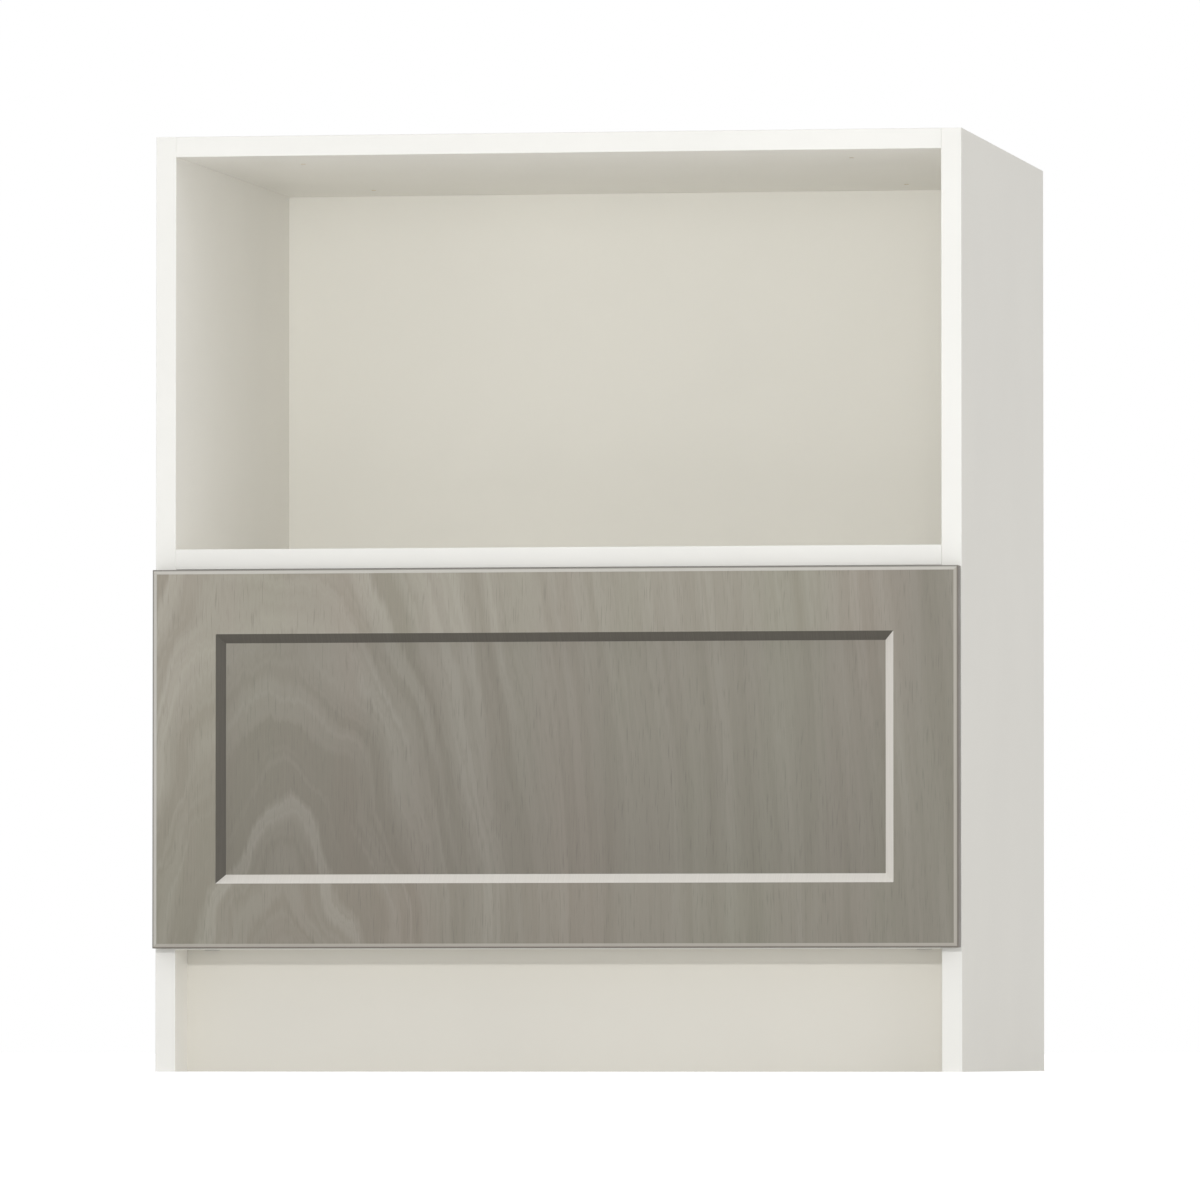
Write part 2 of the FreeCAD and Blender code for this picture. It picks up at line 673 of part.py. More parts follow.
def runner_slots(side, web, along_step, up_step):
    """Slotted holes beside the front and rear screws, for setting a runner before it is fixed."""
    slots = []
    places = runner_screw_places()
    tip = V(0, along_step, up_step) * (RUNNER_SLOT_LENGTH / 2)
    shoulder = V(0, along_step, up_step) * (RUNNER_SLOT_LENGTH / 2 - RUNNER_SLOT_RADIUS)
    width = V(0, up_step, along_step) * RUNNER_SLOT_RADIUS
    corners = [tip, shoulder + width, width - shoulder, tip * -1, (shoulder + width) * -1, shoulder - width]
    depth = RUNNER_STEEL + 2 * CUT_OVERRUN
    for along in (places[0] + RUNNER_SLOT_STEP, places[2] - RUNNER_SLOT_STEP):
        centre = V(side * (BAY_HALF - web + CUT_OVERRUN), RUNNER_FRONT + along, RUNNER_MIDDLE)
        outline = polygon_face([centre + corner for corner in corners])
        slots.append(outline.extrude(V(-side * depth, 0, 0)))
    return slots


def cabinet_runner(side):
    """The outer channel, screwed to the cabinet side, with lips that curl over the outer balls."""
    section = RunnerSection(side)
    corner = (RUNNER_CORNER, HALF_RUNNER - RUNNER_CORNER)
    inner_top = HALF_RUNNER - RUNNER_STEEL
    lip = CABINET_LIP_ANGLE
    section.line((0, 0), (0, corner[1]))
    section.arc(corner, RUNNER_CORNER, 180, 90)
    section.line((corner[0], HALF_RUNNER), (OUTER_BALL[0], HALF_RUNNER))
    section.arc(OUTER_BALL, RACE_BACK, 90, lip)
    section.line(polar(OUTER_BALL, RACE_BACK, lip), polar(OUTER_BALL, RACE_RADIUS, lip))
    section.arc(OUTER_BALL, RACE_RADIUS, lip, 90)
    section.line((OUTER_BALL[0], inner_top), (corner[0], inner_top))
    section.arc(corner, RUNNER_CORNER - RUNNER_STEEL, 90, 180)
    section.line((RUNNER_STEEL, corner[1]), (RUNNER_STEEL, 0))
    channel = section.channel(RUNNER_FRONT, RUNNER_REAR + STOP_PLAY + STOP_LENGTH)
    holes = [cabinet_runner_screw(side, along, SCREW_PLAY) for along in runner_screw_places()]
    return channel.cut(holes + runner_slots(side, 0, 1, 0))


def middle_runner(side):
    """The middle channel, whose flanges carry balls on both faces."""
    section = RunnerSection(side)
    web_back = MIDDLE_WEB + RUNNER_STEEL
    flange = OUTER_BALL[1] - RACE_RADIUS
    bend = (MIDDLE_WEB + RUNNER_BEND, flange - RUNNER_BEND)
    lip = MIDDLE_LIP_ANGLE
    over = 180 - BALL_STEP_ANGLE
    section.line((MIDDLE_WEB, 0), (MIDDLE_WEB, bend[1]))
    section.arc(bend, RUNNER_BEND, 180, 90)
    section.line((bend[0], flange), (OUTER_BALL[0], flange))
    section.arc(OUTER_BALL, RACE_RADIUS, -90, -BALL_STEP_ANGLE)
    section.arc(INNER_BALL, RACE_BACK, over, lip)
    section.line(polar(INNER_BALL, RACE_BACK, lip), polar(INNER_BALL, RACE_RADIUS, lip))
    section.arc(INNER_BALL, RACE_RADIUS, lip, over)
    section.arc(OUTER_BALL, RACE_BACK, -BALL_STEP_ANGLE, -90)
    section.line((OUTER_BALL[0], flange - RUNNER_STEEL), (bend[0], flange - RUNNER_STEEL))
    section.arc(bend, RUNNER_BEND - RUNNER_STEEL, 90, 180)
    section.line((web_back, bend[1]), (web_back, 0))
    channel = section.channel(RUNNER_FRONT, RUNNER_REAR)
    cuts = []
    for along in runner_screw_places():
        start = V(side * BAY_HALF, RUNNER_FRONT + along, RUNNER_MIDDLE)
        cuts.append(bar(start, V(-side, 0, 0), ACCESS_HOLE_RADIUS, web_back + CUT_OVERRUN))
    return channel.cut(cuts)


def drawer_runner(side):
    """The inner channel, screwed to the drawer side, with lips that cup the inner balls."""
    section = RunnerSection(side)
    flange = INNER_BALL[1] - RACE_RADIUS
    bend = (RUNNER_THICKNESS - RUNNER_BEND, flange - RUNNER_BEND)
    lip = DRAWER_LIP_ANGLE
    section.line((RUNNER_THICKNESS, 0), (RUNNER_THICKNESS, bend[1]))
    section.arc(bend, RUNNER_BEND, 0, 90)
    section.line((bend[0], flange), (INNER_BALL[0], flange))
    section.arc(INNER_BALL, RACE_RADIUS, 270, lip)
    section.line(polar(INNER_BALL, RACE_RADIUS, lip), polar(INNER_BALL, RACE_BACK, lip))
    section.arc(INNER_BALL, RACE_BACK, lip, 270)
    section.line((INNER_BALL[0], flange - RUNNER_STEEL), (bend[0], flange - RUNNER_STEEL))
    section.arc(bend, RUNNER_BEND - RUNNER_STEEL, 90, 0)
    section.line((DRAWER_WEB, bend[1]), (DRAWER_WEB, 0))
    channel = section.channel(RUNNER_FRONT, RUNNER_REAR)
    holes = [*drawer_runner_screw_holes(side), lever_rivet_hole(side)]
    return channel.cut(holes + runner_slots(side, DRAWER_WEB, 0, 1))


def cage_span():
    """Front and rear ends of the ball cages, which ride in the middle of the runners."""
    spare = RUNNER_LENGTH * (1 - CAGE_LENGTH_SHARE) / 2
    return RUNNER_FRONT + spare, RUNNER_REAR - spare


def ball_places(side, ball):
    """Centres of one cage's balls, in an upper and a lower row."""
    front, rear = cage_span()
    pitch = (rear - front) / BALLS_PER_ROW
    x = side * (BAY_HALF - ball[0])
    return [
        V(x, front + (number + 0.5) * pitch, RUNNER_MIDDLE + row * ball[1])
        for row in (-1, 1)
        for number in range(BALLS_PER_ROW)
    ]


def ball_cage(side, web, ball, flange):
    """A thin channel with a hole for each ball. flange is the height of its upper face."""
    section = RunnerSection(side)
    reach = ball[0] + BALL_RADIUS + CAGE_BALL_PLAY + CAGE_LAND
    section.line((web, 0), (web, flange))
    section.line((web, flange), (reach, flange))
    section.line((reach, flange), (reach, flange - CAGE_STEEL))
    section.line((reach, flange - CAGE_STEEL), (web + CAGE_STEEL, flange - CAGE_STEEL))
    section.line((web + CAGE_STEEL, flange - CAGE_STEEL), (web + CAGE_STEEL, 0))
    radius = BALL_RADIUS + CAGE_BALL_PLAY
    holes = [bar(place + DOWN * radius, UP, radius, 2 * radius) for place in ball_places(side, ball)]
    return section.channel(*cage_span()).cut(holes)


def balls(side, ball):
    """The balls that one cage holds, each a many-sided bead."""
    cap = math.radians(BALL_CAP_ANGLE)
    height = BALL_RADIUS * math.sin(cap)
    waist = BALL_RADIUS * math.cos(cap)
    steps = [(-height, waist), (0.0, BALL_RADIUS), (height, waist)]
    return [turned(place, UP, steps) for place in ball_places(side, ball)]


def stop_bumper(side):
    """A plastic block in the rear end of the cabinet runner that the closing drawer meets."""
    x = (side * (BAY_HALF - RUNNER_STEEL), side * (BAY_HALF - DRAWER_WEB))
    y = (RUNNER_REAR + STOP_PLAY, RUNNER_REAR + STOP_PLAY + STOP_LENGTH)
    z = (RUNNER_MIDDLE - STOP_HALF_HEIGHT, RUNNER_MIDDLE + STOP_HALF_HEIGHT)
    return block(x, y, z)


# Release levers
def lever_place(side, u, along=0.0):
    """A point on the lever's middle line, at a depth u in the runner's section."""
    return V(side * (BAY_HALF - u), LEVER_PIVOT + along, RUNNER_MIDDLE)


def lever_rivet_hole(side):
    """The round hole for the rivet, through the lever and the drawer runner's web."""
    start = lever_place(side, LEVER_FACE - CUT_OVERRUN)
    return rod(start, V(-side, 0, 0), RIVET_RADIUS + RIVET_PLAY, RUNNER_THICKNESS)


def lever_rivet(side):
    """The rivet that a release lever turns on, flush with the back of the runner's web."""
    inward = V(-side, 0, 0)
    under_head = LEVER_FACE - LEVER_PLAY
    shank = rod(lever_place(side, under_head), inward, RIVET_RADIUS, RUNNER_THICKNESS - under_head)
    head = bar(lever_place(side, under_head - RIVET_HEAD), inward, RIVET_HEAD_RADIUS, RIVET_HEAD)
    return shank.fuse(head)


def tapered_link(side, reach, tip_radius):
    """A flat arm from the lever's hub to a smaller round tip."""
    lean = math.asin((LEVER_HUB_RADIUS - tip_radius) / abs(reach))
    way = math.copysign(1, reach)

    def rim(along, radius, angle):
        across = V(0, way * radius * math.sin(angle), radius * math.cos(angle))
        return lever_place(side, LEVER_BACK, along) + across

    hub = [rim(0, LEVER_HUB_RADIUS, angle) for angle in (lean, 1.5 * math.pi, math.pi - lean)]
    tip = [rim(reach, tip_radius, angle) for angle in (math.pi - lean, math.pi / 2, lean)]
    edges = [
        Part.Arc(*hub).toShape(),
        Part.LineSegment(hub[2], tip[0]).toShape(),
        Part.Arc(*tip).toShape(),
        Part.LineSegment(tip[2], hub[0]).toShape(),
    ]
    return Part.Face(Part.Wire(edges)).extrude(V(side * LEVER_THICKNESS, 0, 0))


def release_lever(side):
    """A plastic lever with a finger pad, pressed to let the drawer come off its runners."""
    arm = tapered_link(side, -LEVER_REACH, LEVER_TIP_RADIUS)
    tail = tapered_link(side, LEVER_TAIL, LEVER_TAIL_RADIUS)
    pad_start = lever_place(side, LEVER_FACE, -LEVER_REACH)
    pad = bar(pad_start, V(side, 0, 0), LEVER_TIP_RADIUS, LEVER_PAD)
    return arm.fuse([tail, pad]).removeSplitter().cut(lever_rivet_hole(side))


# All pieces by name
def carcass_pieces():
    """The boards, their edge bands and the fittings between them."""
    pieces = {
        "top_panel": top_panel(),
        "microwave_shelf": level_board("microwave_shelf", SHELF_UNDER, BACK_FRONT),
        "bottom_panel": level_board("bottom_panel", TOE_HEIGHT, BACK_FRONT),
        "back_panel": back_panel(),
        "toe_kick_board": toe_kick_board(),
        "top_panel_edge_band": edge_band((-BAY_HALF, BAY_HALF), (TOP_UNDER, CABINET_HEIGHT)),
        "shelf_edge_band": edge_band((-BAY_HALF, BAY_HALF), (SHELF_UNDER, SHELF_TOP)),
        "bottom_panel_edge_band": edge_band((-BAY_HALF, BAY_HALF), (TOE_HEIGHT, DECK_TOP)),
        "cam_locks": [cam_lock(joint) for joint in ALL_JOINTS],
        "cam_bolts": [cam_bolt(joint) for joint in ALL_JOINTS],
        "joint_dowels": [dowel(side, point) for side, _, point, _ in ALL_JOINTS],
        "nailer_dowels": [dowel(side, point) for _, side, point in nailer_dowel_places()],
        "nailer_screws": [screw for name in NAILER_LEVELS for screw in nailer_screws_of(name)],
    }
    for name in NAILER_LEVELS:
        pieces[name] = nailer(name)
    for name, side in SIDES.items():
        pieces[name + "_side_panel"] = side_panel(side)
        span = (side * BAY_HALF, side * HALF_WIDTH)
        pieces[name + "_side_edge_band"] = edge_band(span, (0, CABINET_HEIGHT))
    return pieces


def drawer_pieces():
    """The drawer front, the dovetailed box and their fixings."""
    front_screw_length = DRAWER_WALL + FRONT_SCREW_BITE
    box_front = drawer_end(BOX_FRONT, BOX_FRONT + DRAWER_WALL)
    pieces = {
        "drawer_front": drawer_front(),
        "drawer_box_front": box_front.cut(front_screw_holes()),
        "drawer_box_back": drawer_end(BOX_REAR, BOX_REAR - DRAWER_WALL),
        "drawer_box_base": drawer_base(),
        "front_fixing_screws": [
            round_head_screw(place, FORWARD, FRONT_SCREW_HEAD, front_screw_length)
            for place in front_screw_places()
        ],
        "front_bumpers": front_bumpers(),
    }
    for name, side in SIDES.items():
        pieces["drawer_box_" + name] = drawer_side(side)
    return pieces


def runner_pieces():
    """Both runners with their balls, cages, screws, stops and release levers."""
    outer_cage_flange = OUTER_BALL[1] + CAGE_STEEL / 2
    inner_cage_flange = INNER_BALL[1]
    both = list(SIDES.values())
    pieces = {
        "cabinet_runner_screws": [
            cabinet_runner_screw(side, along) for side in both for along in runner_screw_places()
        ],
        "drawer_runner_screws": [
            round_head_screw(place, V(-side, 0, 0), RUNNER_SCREW_HEAD, drawer_runner_screw_length())
            for side in both
            for place in drawer_runner_screw_places(side)
        ],
        "runner_stop_bumpers": [stop_bumper(side) for side in both],
        "lever_rivets": [lever_rivet(side) for side in both],
    }
    for name, side in SIDES.items():
        pieces[name + "_cabinet_runner"] = cabinet_runner(side)
        pieces[name + "_middle_runner"] = middle_runner(side)
        pieces[name + "_drawer_runner"] = drawer_runner(side)
        pieces[name + "_outer_ball_cage"] = ball_cage(side, OUTER_CAGE_WEB, OUTER_BALL, outer_cage_flange)
        pieces[name + "_inner_ball_cage"] = ball_cage(side, INNER_CAGE_WEB, INNER_BALL, inner_cage_flange)
        pieces[name + "_outer_balls"] = balls(side, OUTER_BALL)
        pieces[name + "_inner_balls"] = balls(side, INNER_BALL)
        pieces[name + "_release_lever"] = release_lever(side)
    return pieces


def main():
    os.makedirs("parts", exist_ok=True)
    pieces = {**carcass_pieces(), **drawer_pieces(), **runner_pieces()}
    for name, piece in pieces.items():
        shape = Part.makeCompound(piece) if isinstance(piece, list) else piece
        shape.exportStep(os.path.join("parts", name + ".step"))


main()
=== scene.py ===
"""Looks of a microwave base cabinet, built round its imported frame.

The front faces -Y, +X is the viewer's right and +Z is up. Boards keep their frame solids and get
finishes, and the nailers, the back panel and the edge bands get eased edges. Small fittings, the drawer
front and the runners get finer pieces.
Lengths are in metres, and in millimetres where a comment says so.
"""

import json
import math
from functools import cached_property, partial

import bmesh
import bpy
from bpy.props import FloatProperty, FloatVectorProperty, IntProperty, PointerProperty
from mathutils import Matrix, Vector


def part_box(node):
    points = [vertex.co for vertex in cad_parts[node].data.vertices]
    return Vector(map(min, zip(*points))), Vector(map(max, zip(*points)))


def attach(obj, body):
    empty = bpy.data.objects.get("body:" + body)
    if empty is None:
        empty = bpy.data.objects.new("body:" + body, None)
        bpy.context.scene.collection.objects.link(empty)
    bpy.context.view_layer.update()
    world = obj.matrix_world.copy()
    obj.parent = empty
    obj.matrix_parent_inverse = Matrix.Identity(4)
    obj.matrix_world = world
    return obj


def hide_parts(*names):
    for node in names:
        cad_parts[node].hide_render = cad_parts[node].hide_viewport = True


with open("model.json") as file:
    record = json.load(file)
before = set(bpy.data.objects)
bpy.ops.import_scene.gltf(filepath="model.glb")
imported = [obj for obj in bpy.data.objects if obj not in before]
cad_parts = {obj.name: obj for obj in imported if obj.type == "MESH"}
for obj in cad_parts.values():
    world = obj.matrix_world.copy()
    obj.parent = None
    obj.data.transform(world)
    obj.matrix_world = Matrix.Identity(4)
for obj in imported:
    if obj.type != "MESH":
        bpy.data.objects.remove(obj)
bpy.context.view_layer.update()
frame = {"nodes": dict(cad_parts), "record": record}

bl_info = {
    "name": "Microwave Base Cabinet",
    "version": (1, 0, 0),
    "blender": (4, 5, 0),
    "location": "View3D > Sidebar > Cabinet",
    "description": "Dresses a microwave base cabinet and sets up its studio",
    "category": "Object",
}

MM = 0.001
SIDES = {"left": -1, "right": 1}
X, Y, Z = Vector((1, 0, 0)), Vector((0, 1, 0)), Vector((0, 0, 1))

# Points nearer than this are one point, and faces that bend less than this are one flat face
SAME_PLACE = 0.005 * MM
FLAT_BEND = math.radians(0.5)

# Distant lamps: degrees to the right of +Y, degrees above the horizon and degrees of softness
LOW_LAMP = (171, 2.5, 5)
RAKING_LAMP = (248, 48, 25)
SIDE_LAMP = (114, 16, 50)

# Camera: sensor width in millimetres, and how far it sees
SENSOR_WIDTH = 36.0
SIGHT = 200.0

# Oak leaf: places from the left edge of the drawer front, and its faint casts of colour
ARCH_PLACE = 112 * MM
LOOSE_GRAIN = (180 * MM, 420 * MM)
STRONG_GRAIN = (200 * MM, 360 * MM)
LEFT_LIGHT = 240 * MM
GREEN_CAST = (0.96, 0.975, 0.945, 1)
PLAIN_CAST = (0.98, 0.97, 0.965, 1)
PINK_CAST = (1.0, 0.96, 0.96, 1)

# White boards: how far their tone drifts. Hardboard: width of the screen pattern on its rear
BOARD_DRIFT = 0.018
SCREEN_MESH = 1.6 * MM


# Settings
def swatch(label, description, *levels):
    """A colour that the user picks as it looks on screen, given in levels of 0 to 255."""
    default = [level / 255 for level in levels]
    return FloatVectorProperty(
        name=label, description=description, default=default, subtype="COLOR_GAMMA", size=3, min=0, max=1
    )


def place_setting(label, description, *default):
    """A place in metres."""
    return FloatVectorProperty(
        name=label, description=description, default=default, subtype="TRANSLATION", unit="LENGTH", size=3
    )


def measure(label, description, default):
    """A length in metres."""
    return FloatProperty(name=label, description=description, default=default, unit="LENGTH", precision=5)


def angle_setting(label, description, degrees):
    """An angle, given in degrees and kept in radians."""
    return FloatProperty(
        name=label, description=description, default=math.radians(degrees), subtype="ANGLE"
    )


def level_setting(label, description, default):
    """A number from 0 up, such as a light level, where 1 shows a colour as it is written."""
    return FloatProperty(name=label, description=description, default=default, min=0)


class CabinetColours(bpy.types.PropertyGroup):
    """Colours of the cabinet's finishes."""

    # The outer board white is darkened as painted shade, and the inside white is paler as painted light
    # against the shade inside the cabinet
    board: swatch("Board", "Outer faces of the white boards", 229, 226, 217)
    # The toe board white is darkened as painted shade, like the outer board white
    toe: swatch("Toe Board", "Front of the toe-kick board", 228, 225, 216)
    inside: swatch("Inside", "Faces of the boards inside the cabinet", 248, 246, 240)
    # The back panel's inner white is paler as painted light against the shade in the bay
    back: swatch("Back", "Inner face of the back panel", 248, 246, 238)
    band: swatch("Edge Band", "Plastic strips on the front edges", 240, 239, 234)
    chip: swatch("Chip Core", "Bare edges of the boards", 202, 178, 140)
    hardboard: swatch("Hardboard", "Rear face of the back panel", 134, 99, 66)
    oak_light: swatch("Oak Light", "Pale bands of the grey oak foil", 157, 153, 142)
    oak_dark: swatch("Oak Dark", "Dark bands of the grey oak foil", 138, 133, 121)
    oak_pore: swatch("Oak Pores", "Fine dark pores of the grey oak foil", 116, 112, 103)
    # Bevel tones: painted shade on the bevels above and left of the field, which look down or right, and
    # painted highlight on those below and right, which look up or left
    bevel_painted_shade: swatch("Dark Bevel", "Bevels above and left of the field", 71, 67, 60)
    bevel_painted_highlight: swatch("Light Bevel", "Bevels below and right of the field", 222, 218, 211)
    # Rim tones: a pale eased rim, with painted light where it looks up or left and painted shade where it
    # looks down or right
    rim_painted_light: swatch("Light Rim", "Eased rim at the top and left", 198, 195, 188)
    rim_painted_shade: swatch("Dark Rim", "Eased rim at the bottom and right", 178, 173, 164)
    # Outline tones: a painted shade line along the outer edge, less dark where it looks up or left
    outline_painted_shade_light: swatch("Light Outline", "Outer edge at the top and left", 122, 119, 113)
    outline_painted_shade_dark: swatch("Dark Outline", "Outer edge at the bottom and right", 108, 101, 93)
    birch: swatch("Birch", "Drawer box", 224, 203, 169)
    birch_line: swatch("Birch Grain", "Grain lines of the drawer box", 206, 179, 139)
    beech: swatch("Beech", "Dowels", 204, 166, 124)
    beech_line: swatch("Beech Grain", "Grain lines of the dowels", 180, 138, 96)
    zinc: swatch("Zinc Plate", "Runners and cages", 196, 198, 200)
    screw: swatch("Screws", "Plated screws, bolts and rivets", 190, 188, 180)
    cast: swatch("Cast Zinc", "Cam locks", 150, 150, 148)
    ball: swatch("Ball Steel", "Bearing balls", 215, 216, 218)
    plastic: swatch("Black Plastic", "Levers and stops", 34, 34, 35)
    bumper: swatch("Bumpers", "Soft clear discs behind the front", 214, 212, 205)


class CabinetSizes(bpy.types.PropertyGroup):
    """Sizes of the finer pieces."""

    board_ease: measure("Board Ease", "Rounding of the board edges", 0.3 * MM)
    band_ease: measure("Band Ease", "Rounding of the edge bands", 0.15 * MM)
    box_ease: measure("Box Ease", "Rounding of the drawer box edges", 0.4 * MM)
    rim_width: measure("Rim Width", "Eased rim round the drawer front", 4.2 * MM)
    rim_depth: measure("Rim Depth", "How far the rim falls back", 1.6 * MM)
    frame_width: measure("Frame Width", "Flat frame of the drawer front, rim included", 60.3 * MM)
    bevel_width: measure("Bevel Width", "Bevel between frame and field", 8.6 * MM)
    field_depth: measure("Field Depth", "How far the field lies behind the frame", 9.0 * MM)
    front_ease: measure("Front Ease", "Rounding of the drawer front's edges", 0.5 * MM)
    lever_ease: measure("Lever Ease", "Rounding of the release levers", 0.25 * MM)
    stop_ease: measure("Stop Ease", "Rounding of the runners' stops", 0.6 * MM)
    sheet: measure("Runner Sheet", "Thickness of the runners' steel", 1.2 * MM)
    slot_step: measure("Slot Step", "Distance from a drawer runner's end screw to its slot", 32 * MM)
    slot_reach: measure("Slot Reach", "From a slot's middle to the middle of its round end", 2.2 * MM)
    round_steps: IntProperty(
        name="Round Steps", description="Steps round a turned piece", default=28, min=12
    )


class CabinetStudio(bpy.types.PropertyGroup):
    """Camera, lamps and floor."""

    camera_place: place_setting("Camera Place", "Where the camera stands", 1.958, -11.839, 0.020)
    camera_turn: angle_setting("Camera Turn", "Turn of the view from straight ahead to the right", -9.42)
    camera_tilt: angle_setting("Camera Tilt", "Tilt of the view above the horizon", 2.05)
    camera_lens: FloatProperty(
        name="Lens", description="Focal length in millimetres", default=377.4, min=1, unit="CAMERA"
    )
    floor_reach: measure("Floor Reach", "Half the width of the floor", 60.0)
    ambient: level_setting("Ambient", "Even light from all sides", 0.55)
    soft_box: level_setting("Soft Box", "Extra light from low in front of the cabinet", 0.2)
    soft_box_focus: level_setting("Soft Box Focus", "How narrow the extra light in front is", 8.0)
    floor_lift: level_setting("Floor Lift", "How far the floor is lifted towards white for the camera", 0.45)
    low_level: level_setting("Low Lamp", "Lamp near the floor that reaches into the bay", 0.04)
    front_level: level_setting("Front Lamp", "Lamp that stands in front of the cabinet", 0.24)
    front_place: place_setting("Front Lamp Place", "Where the front lamp stands", 0.28, -2.75, 0.60)
    front_radius: measure("Front Lamp Radius", "Radius of the front lamp, which softens its shadows", 0.04)
    rake_level: level_setting("Raking Lamp", "Soft lamp from the upper left", 0.10)
    side_level: level_setting("Side Lamp", "Soft lamp from the right", 0.12)


def colours():
    return bpy.context.scene.cabinet_colours


def sizes():
    return bpy.context.scene.cabinet_sizes


def studio():
    return bpy.context.scene.cabinet_studio


# Node trees
def linear(colour, gain=1.0):
    """A display colour as the linear colour that a shader takes, brighter or darker by gain."""
    steps = [value / 12.92 if value <= 0.04045 else ((value + 0.055) / 1.055) ** 2.4 for value in colour]
    return (*[min(1.0, step * gain) for step in steps], 1.0)


def grey(level):
    """A linear grey, where 1 is white."""
    return level, level, level, 1


class Value:
    """A varying number in a node tree. Arithmetic on it adds steps to the tree."""

    def __init__(self, tree, socket):
        self.tree = tree
        self.socket = socket

    def __add__(self, other):
        return self.tree.step("ADD", self, other)

    def __sub__(self, other):
        return self.tree.step("SUBTRACT", self, other)

    def __rsub__(self, other):
        return self.tree.step("SUBTRACT", other, self)

    def __mul__(self, other):
        return self.tree.step("MULTIPLY", self, other)

    def __abs__(self):
        return self.tree.step("ABSOLUTE", self)

    def span(self, low, high, start=0.0, end=1.0):
        """The value moved from one range to another, held at the ends."""
        node = self.tree.node("MapRange", Value=self, From_Min=low, From_Max=high, To_Min=start, To_Max=end)
        return Value(self.tree, node.outputs["Result"])


class Tree:
    """A tree of shader nodes that grows step by step."""

    def __init__(self, node_tree):
        self.nodes = node_tree.nodes
        self.links = node_tree.links

    def feed(self, socket, value):
        """Gives a socket a fixed value, or joins it to an output."""
        source = value.socket if isinstance(value, Value) else value
        if isinstance(source, bpy.types.NodeSocket):
            self.links.new(source, socket)
        else:
            socket.default_value = source

    def fill(self, node, **values):
        """Feeds a node's sockets by name, with spaces written as underscores."""
        for name, value in values.items():
            self.feed(node.inputs[name.replace("_", " ")], value)

    def node(self, kind, **values):
        """A new node with its sockets fed."""
        node = self.nodes.new("ShaderNode" + kind)
        self.fill(node, **values)
        return node

    def step(self, operation, *values):
        """One step of arithmetic on varying values."""
        node = self.node("Math")
        node.operation = operation
        for socket, value in zip(node.inputs, values):
            self.feed(socket, value)
        return Value(self, node.outputs["Value"])

    def split(self, vector):
        """The three parts of a vector or colour."""
        return [Value(self, part) for part in self.node("SeparateXYZ", Vector=vector).outputs]

    def merge(self, x, y, z):
        """A vector from three parts."""
        return self.node("CombineXYZ", X=x, Y=y, Z=z).outputs["Vector"]

    def seen(self):
        """1 for what the camera sees, straight, mirrored or through clear pieces, and 0 for other light."""
        rays = self.node("LightPath").outputs
        direct = self.step("MAXIMUM", rays["Is Camera Ray"], rays["Is Glossy Ray"])
        return self.step("MAXIMUM", direct, rays["Is Transmission Ray"])


class Finish(Tree):
    """A node material round one shader."""

    def __init__(self, name):
        self.material = bpy.data.materials.new(name)
        self.material.use_nodes = True
        super().__init__(self.material.node_tree)
        self.shader = self.nodes["Principled BSDF"]
        self.coordinates = self.node("TexCoord").outputs
        self.object = self.coordinates["Object"]

    @cached_property
    def place(self):
        """The three object coordinates."""
        return self.split(self.object)

    @cached_property
    def facing(self):
        """How far a surface faces along each of the three axes, from -1 to 1."""
        return self.split(self.coordinates["Normal"])

    def stretched(self, vector, stretch, shift=0.0):
        """A vector stretched along each axis and shifted along X."""
        return self.node("Mapping", Vector=vector, Scale=stretch, Location=(shift, 0, 0)).outputs["Vector"]

    def noise(self, scale, detail=3.0, roughness=0.5, distortion=0.0, vector=None):
        """Soft noise from 0 to 1, in object coordinates unless a vector is given."""
        node = self.node("TexNoise", Vector=vector or self.object, Scale=scale, Detail=detail)
        self.fill(node, Roughness=roughness, Distortion=distortion)
        return Value(self, node.outputs["Fac"])

    def streaks(self, *stretch, shift=0.0, **look):
        """Soft noise in object coordinates that are stretched along each axis and shifted along X."""
        return self.noise(1.0, vector=self.stretched(self.object, stretch, shift), **look)

    def peel(self):
        """Fine unevenness of a coated face."""
        return self.noise(1500, detail=2)

    def cells(self, vector, scale, feature="F1", output="Color"):
        """Voronoi cells, such as chips or spangle."""
        node = self.node("TexVoronoi", Vector=vector, Scale=scale)
        node.feature = feature
        return node.outputs[output]

    def ramp(self, factor, *stops):
        """A run of colours, each given as (place, linear colour)."""
        node = self.node("ValToRGB", Fac=factor)
        elements = node.color_ramp.elements
        while len(elements) < len(stops):
            elements.new(1.0)
        for element, (place, colour) in zip(elements, stops):
            element.position = place
            element.color = colour
        return node.outputs["Color"]

    def shades(self, factor, colour, *stops):
        """A run of darker and lighter shades of a colour, each given as (place, gain)."""
        return self.ramp(factor, *[(place, linear(colour, gain)) for place, gain in stops])

    def mottled(self, factor, colour, spread):
        """A colour that drifts a little darker and lighter with a factor."""
        return self.shades(factor, colour, (0.25, 1 - spread), (0.75, 1 + spread))

    def blend(self, factor, first, second, mode="MIX"):
        """Two colours mixed by a factor."""
        node = self.node("Mix")
        node.data_type = "RGBA"
        node.blend_type = mode
        factor_socket, first_socket, second_socket = node.inputs[0], node.inputs[6], node.inputs[7]
        self.feed(factor_socket, factor)
        self.feed(first_socket, first)
        self.feed(second_socket, second)
        return node.outputs[2]

    def made(self, colour, rough, height, depth, **others):
        """The material with a colour, a roughness and a fine relief, whose depth is in metres."""
        relief = self.node("Bump", Height=height, Distance=depth, Strength=1.0).outputs["Normal"]
        self.fill(self.shader, Base_Color=colour, Roughness=rough, Normal=relief, **others)
        return self.material


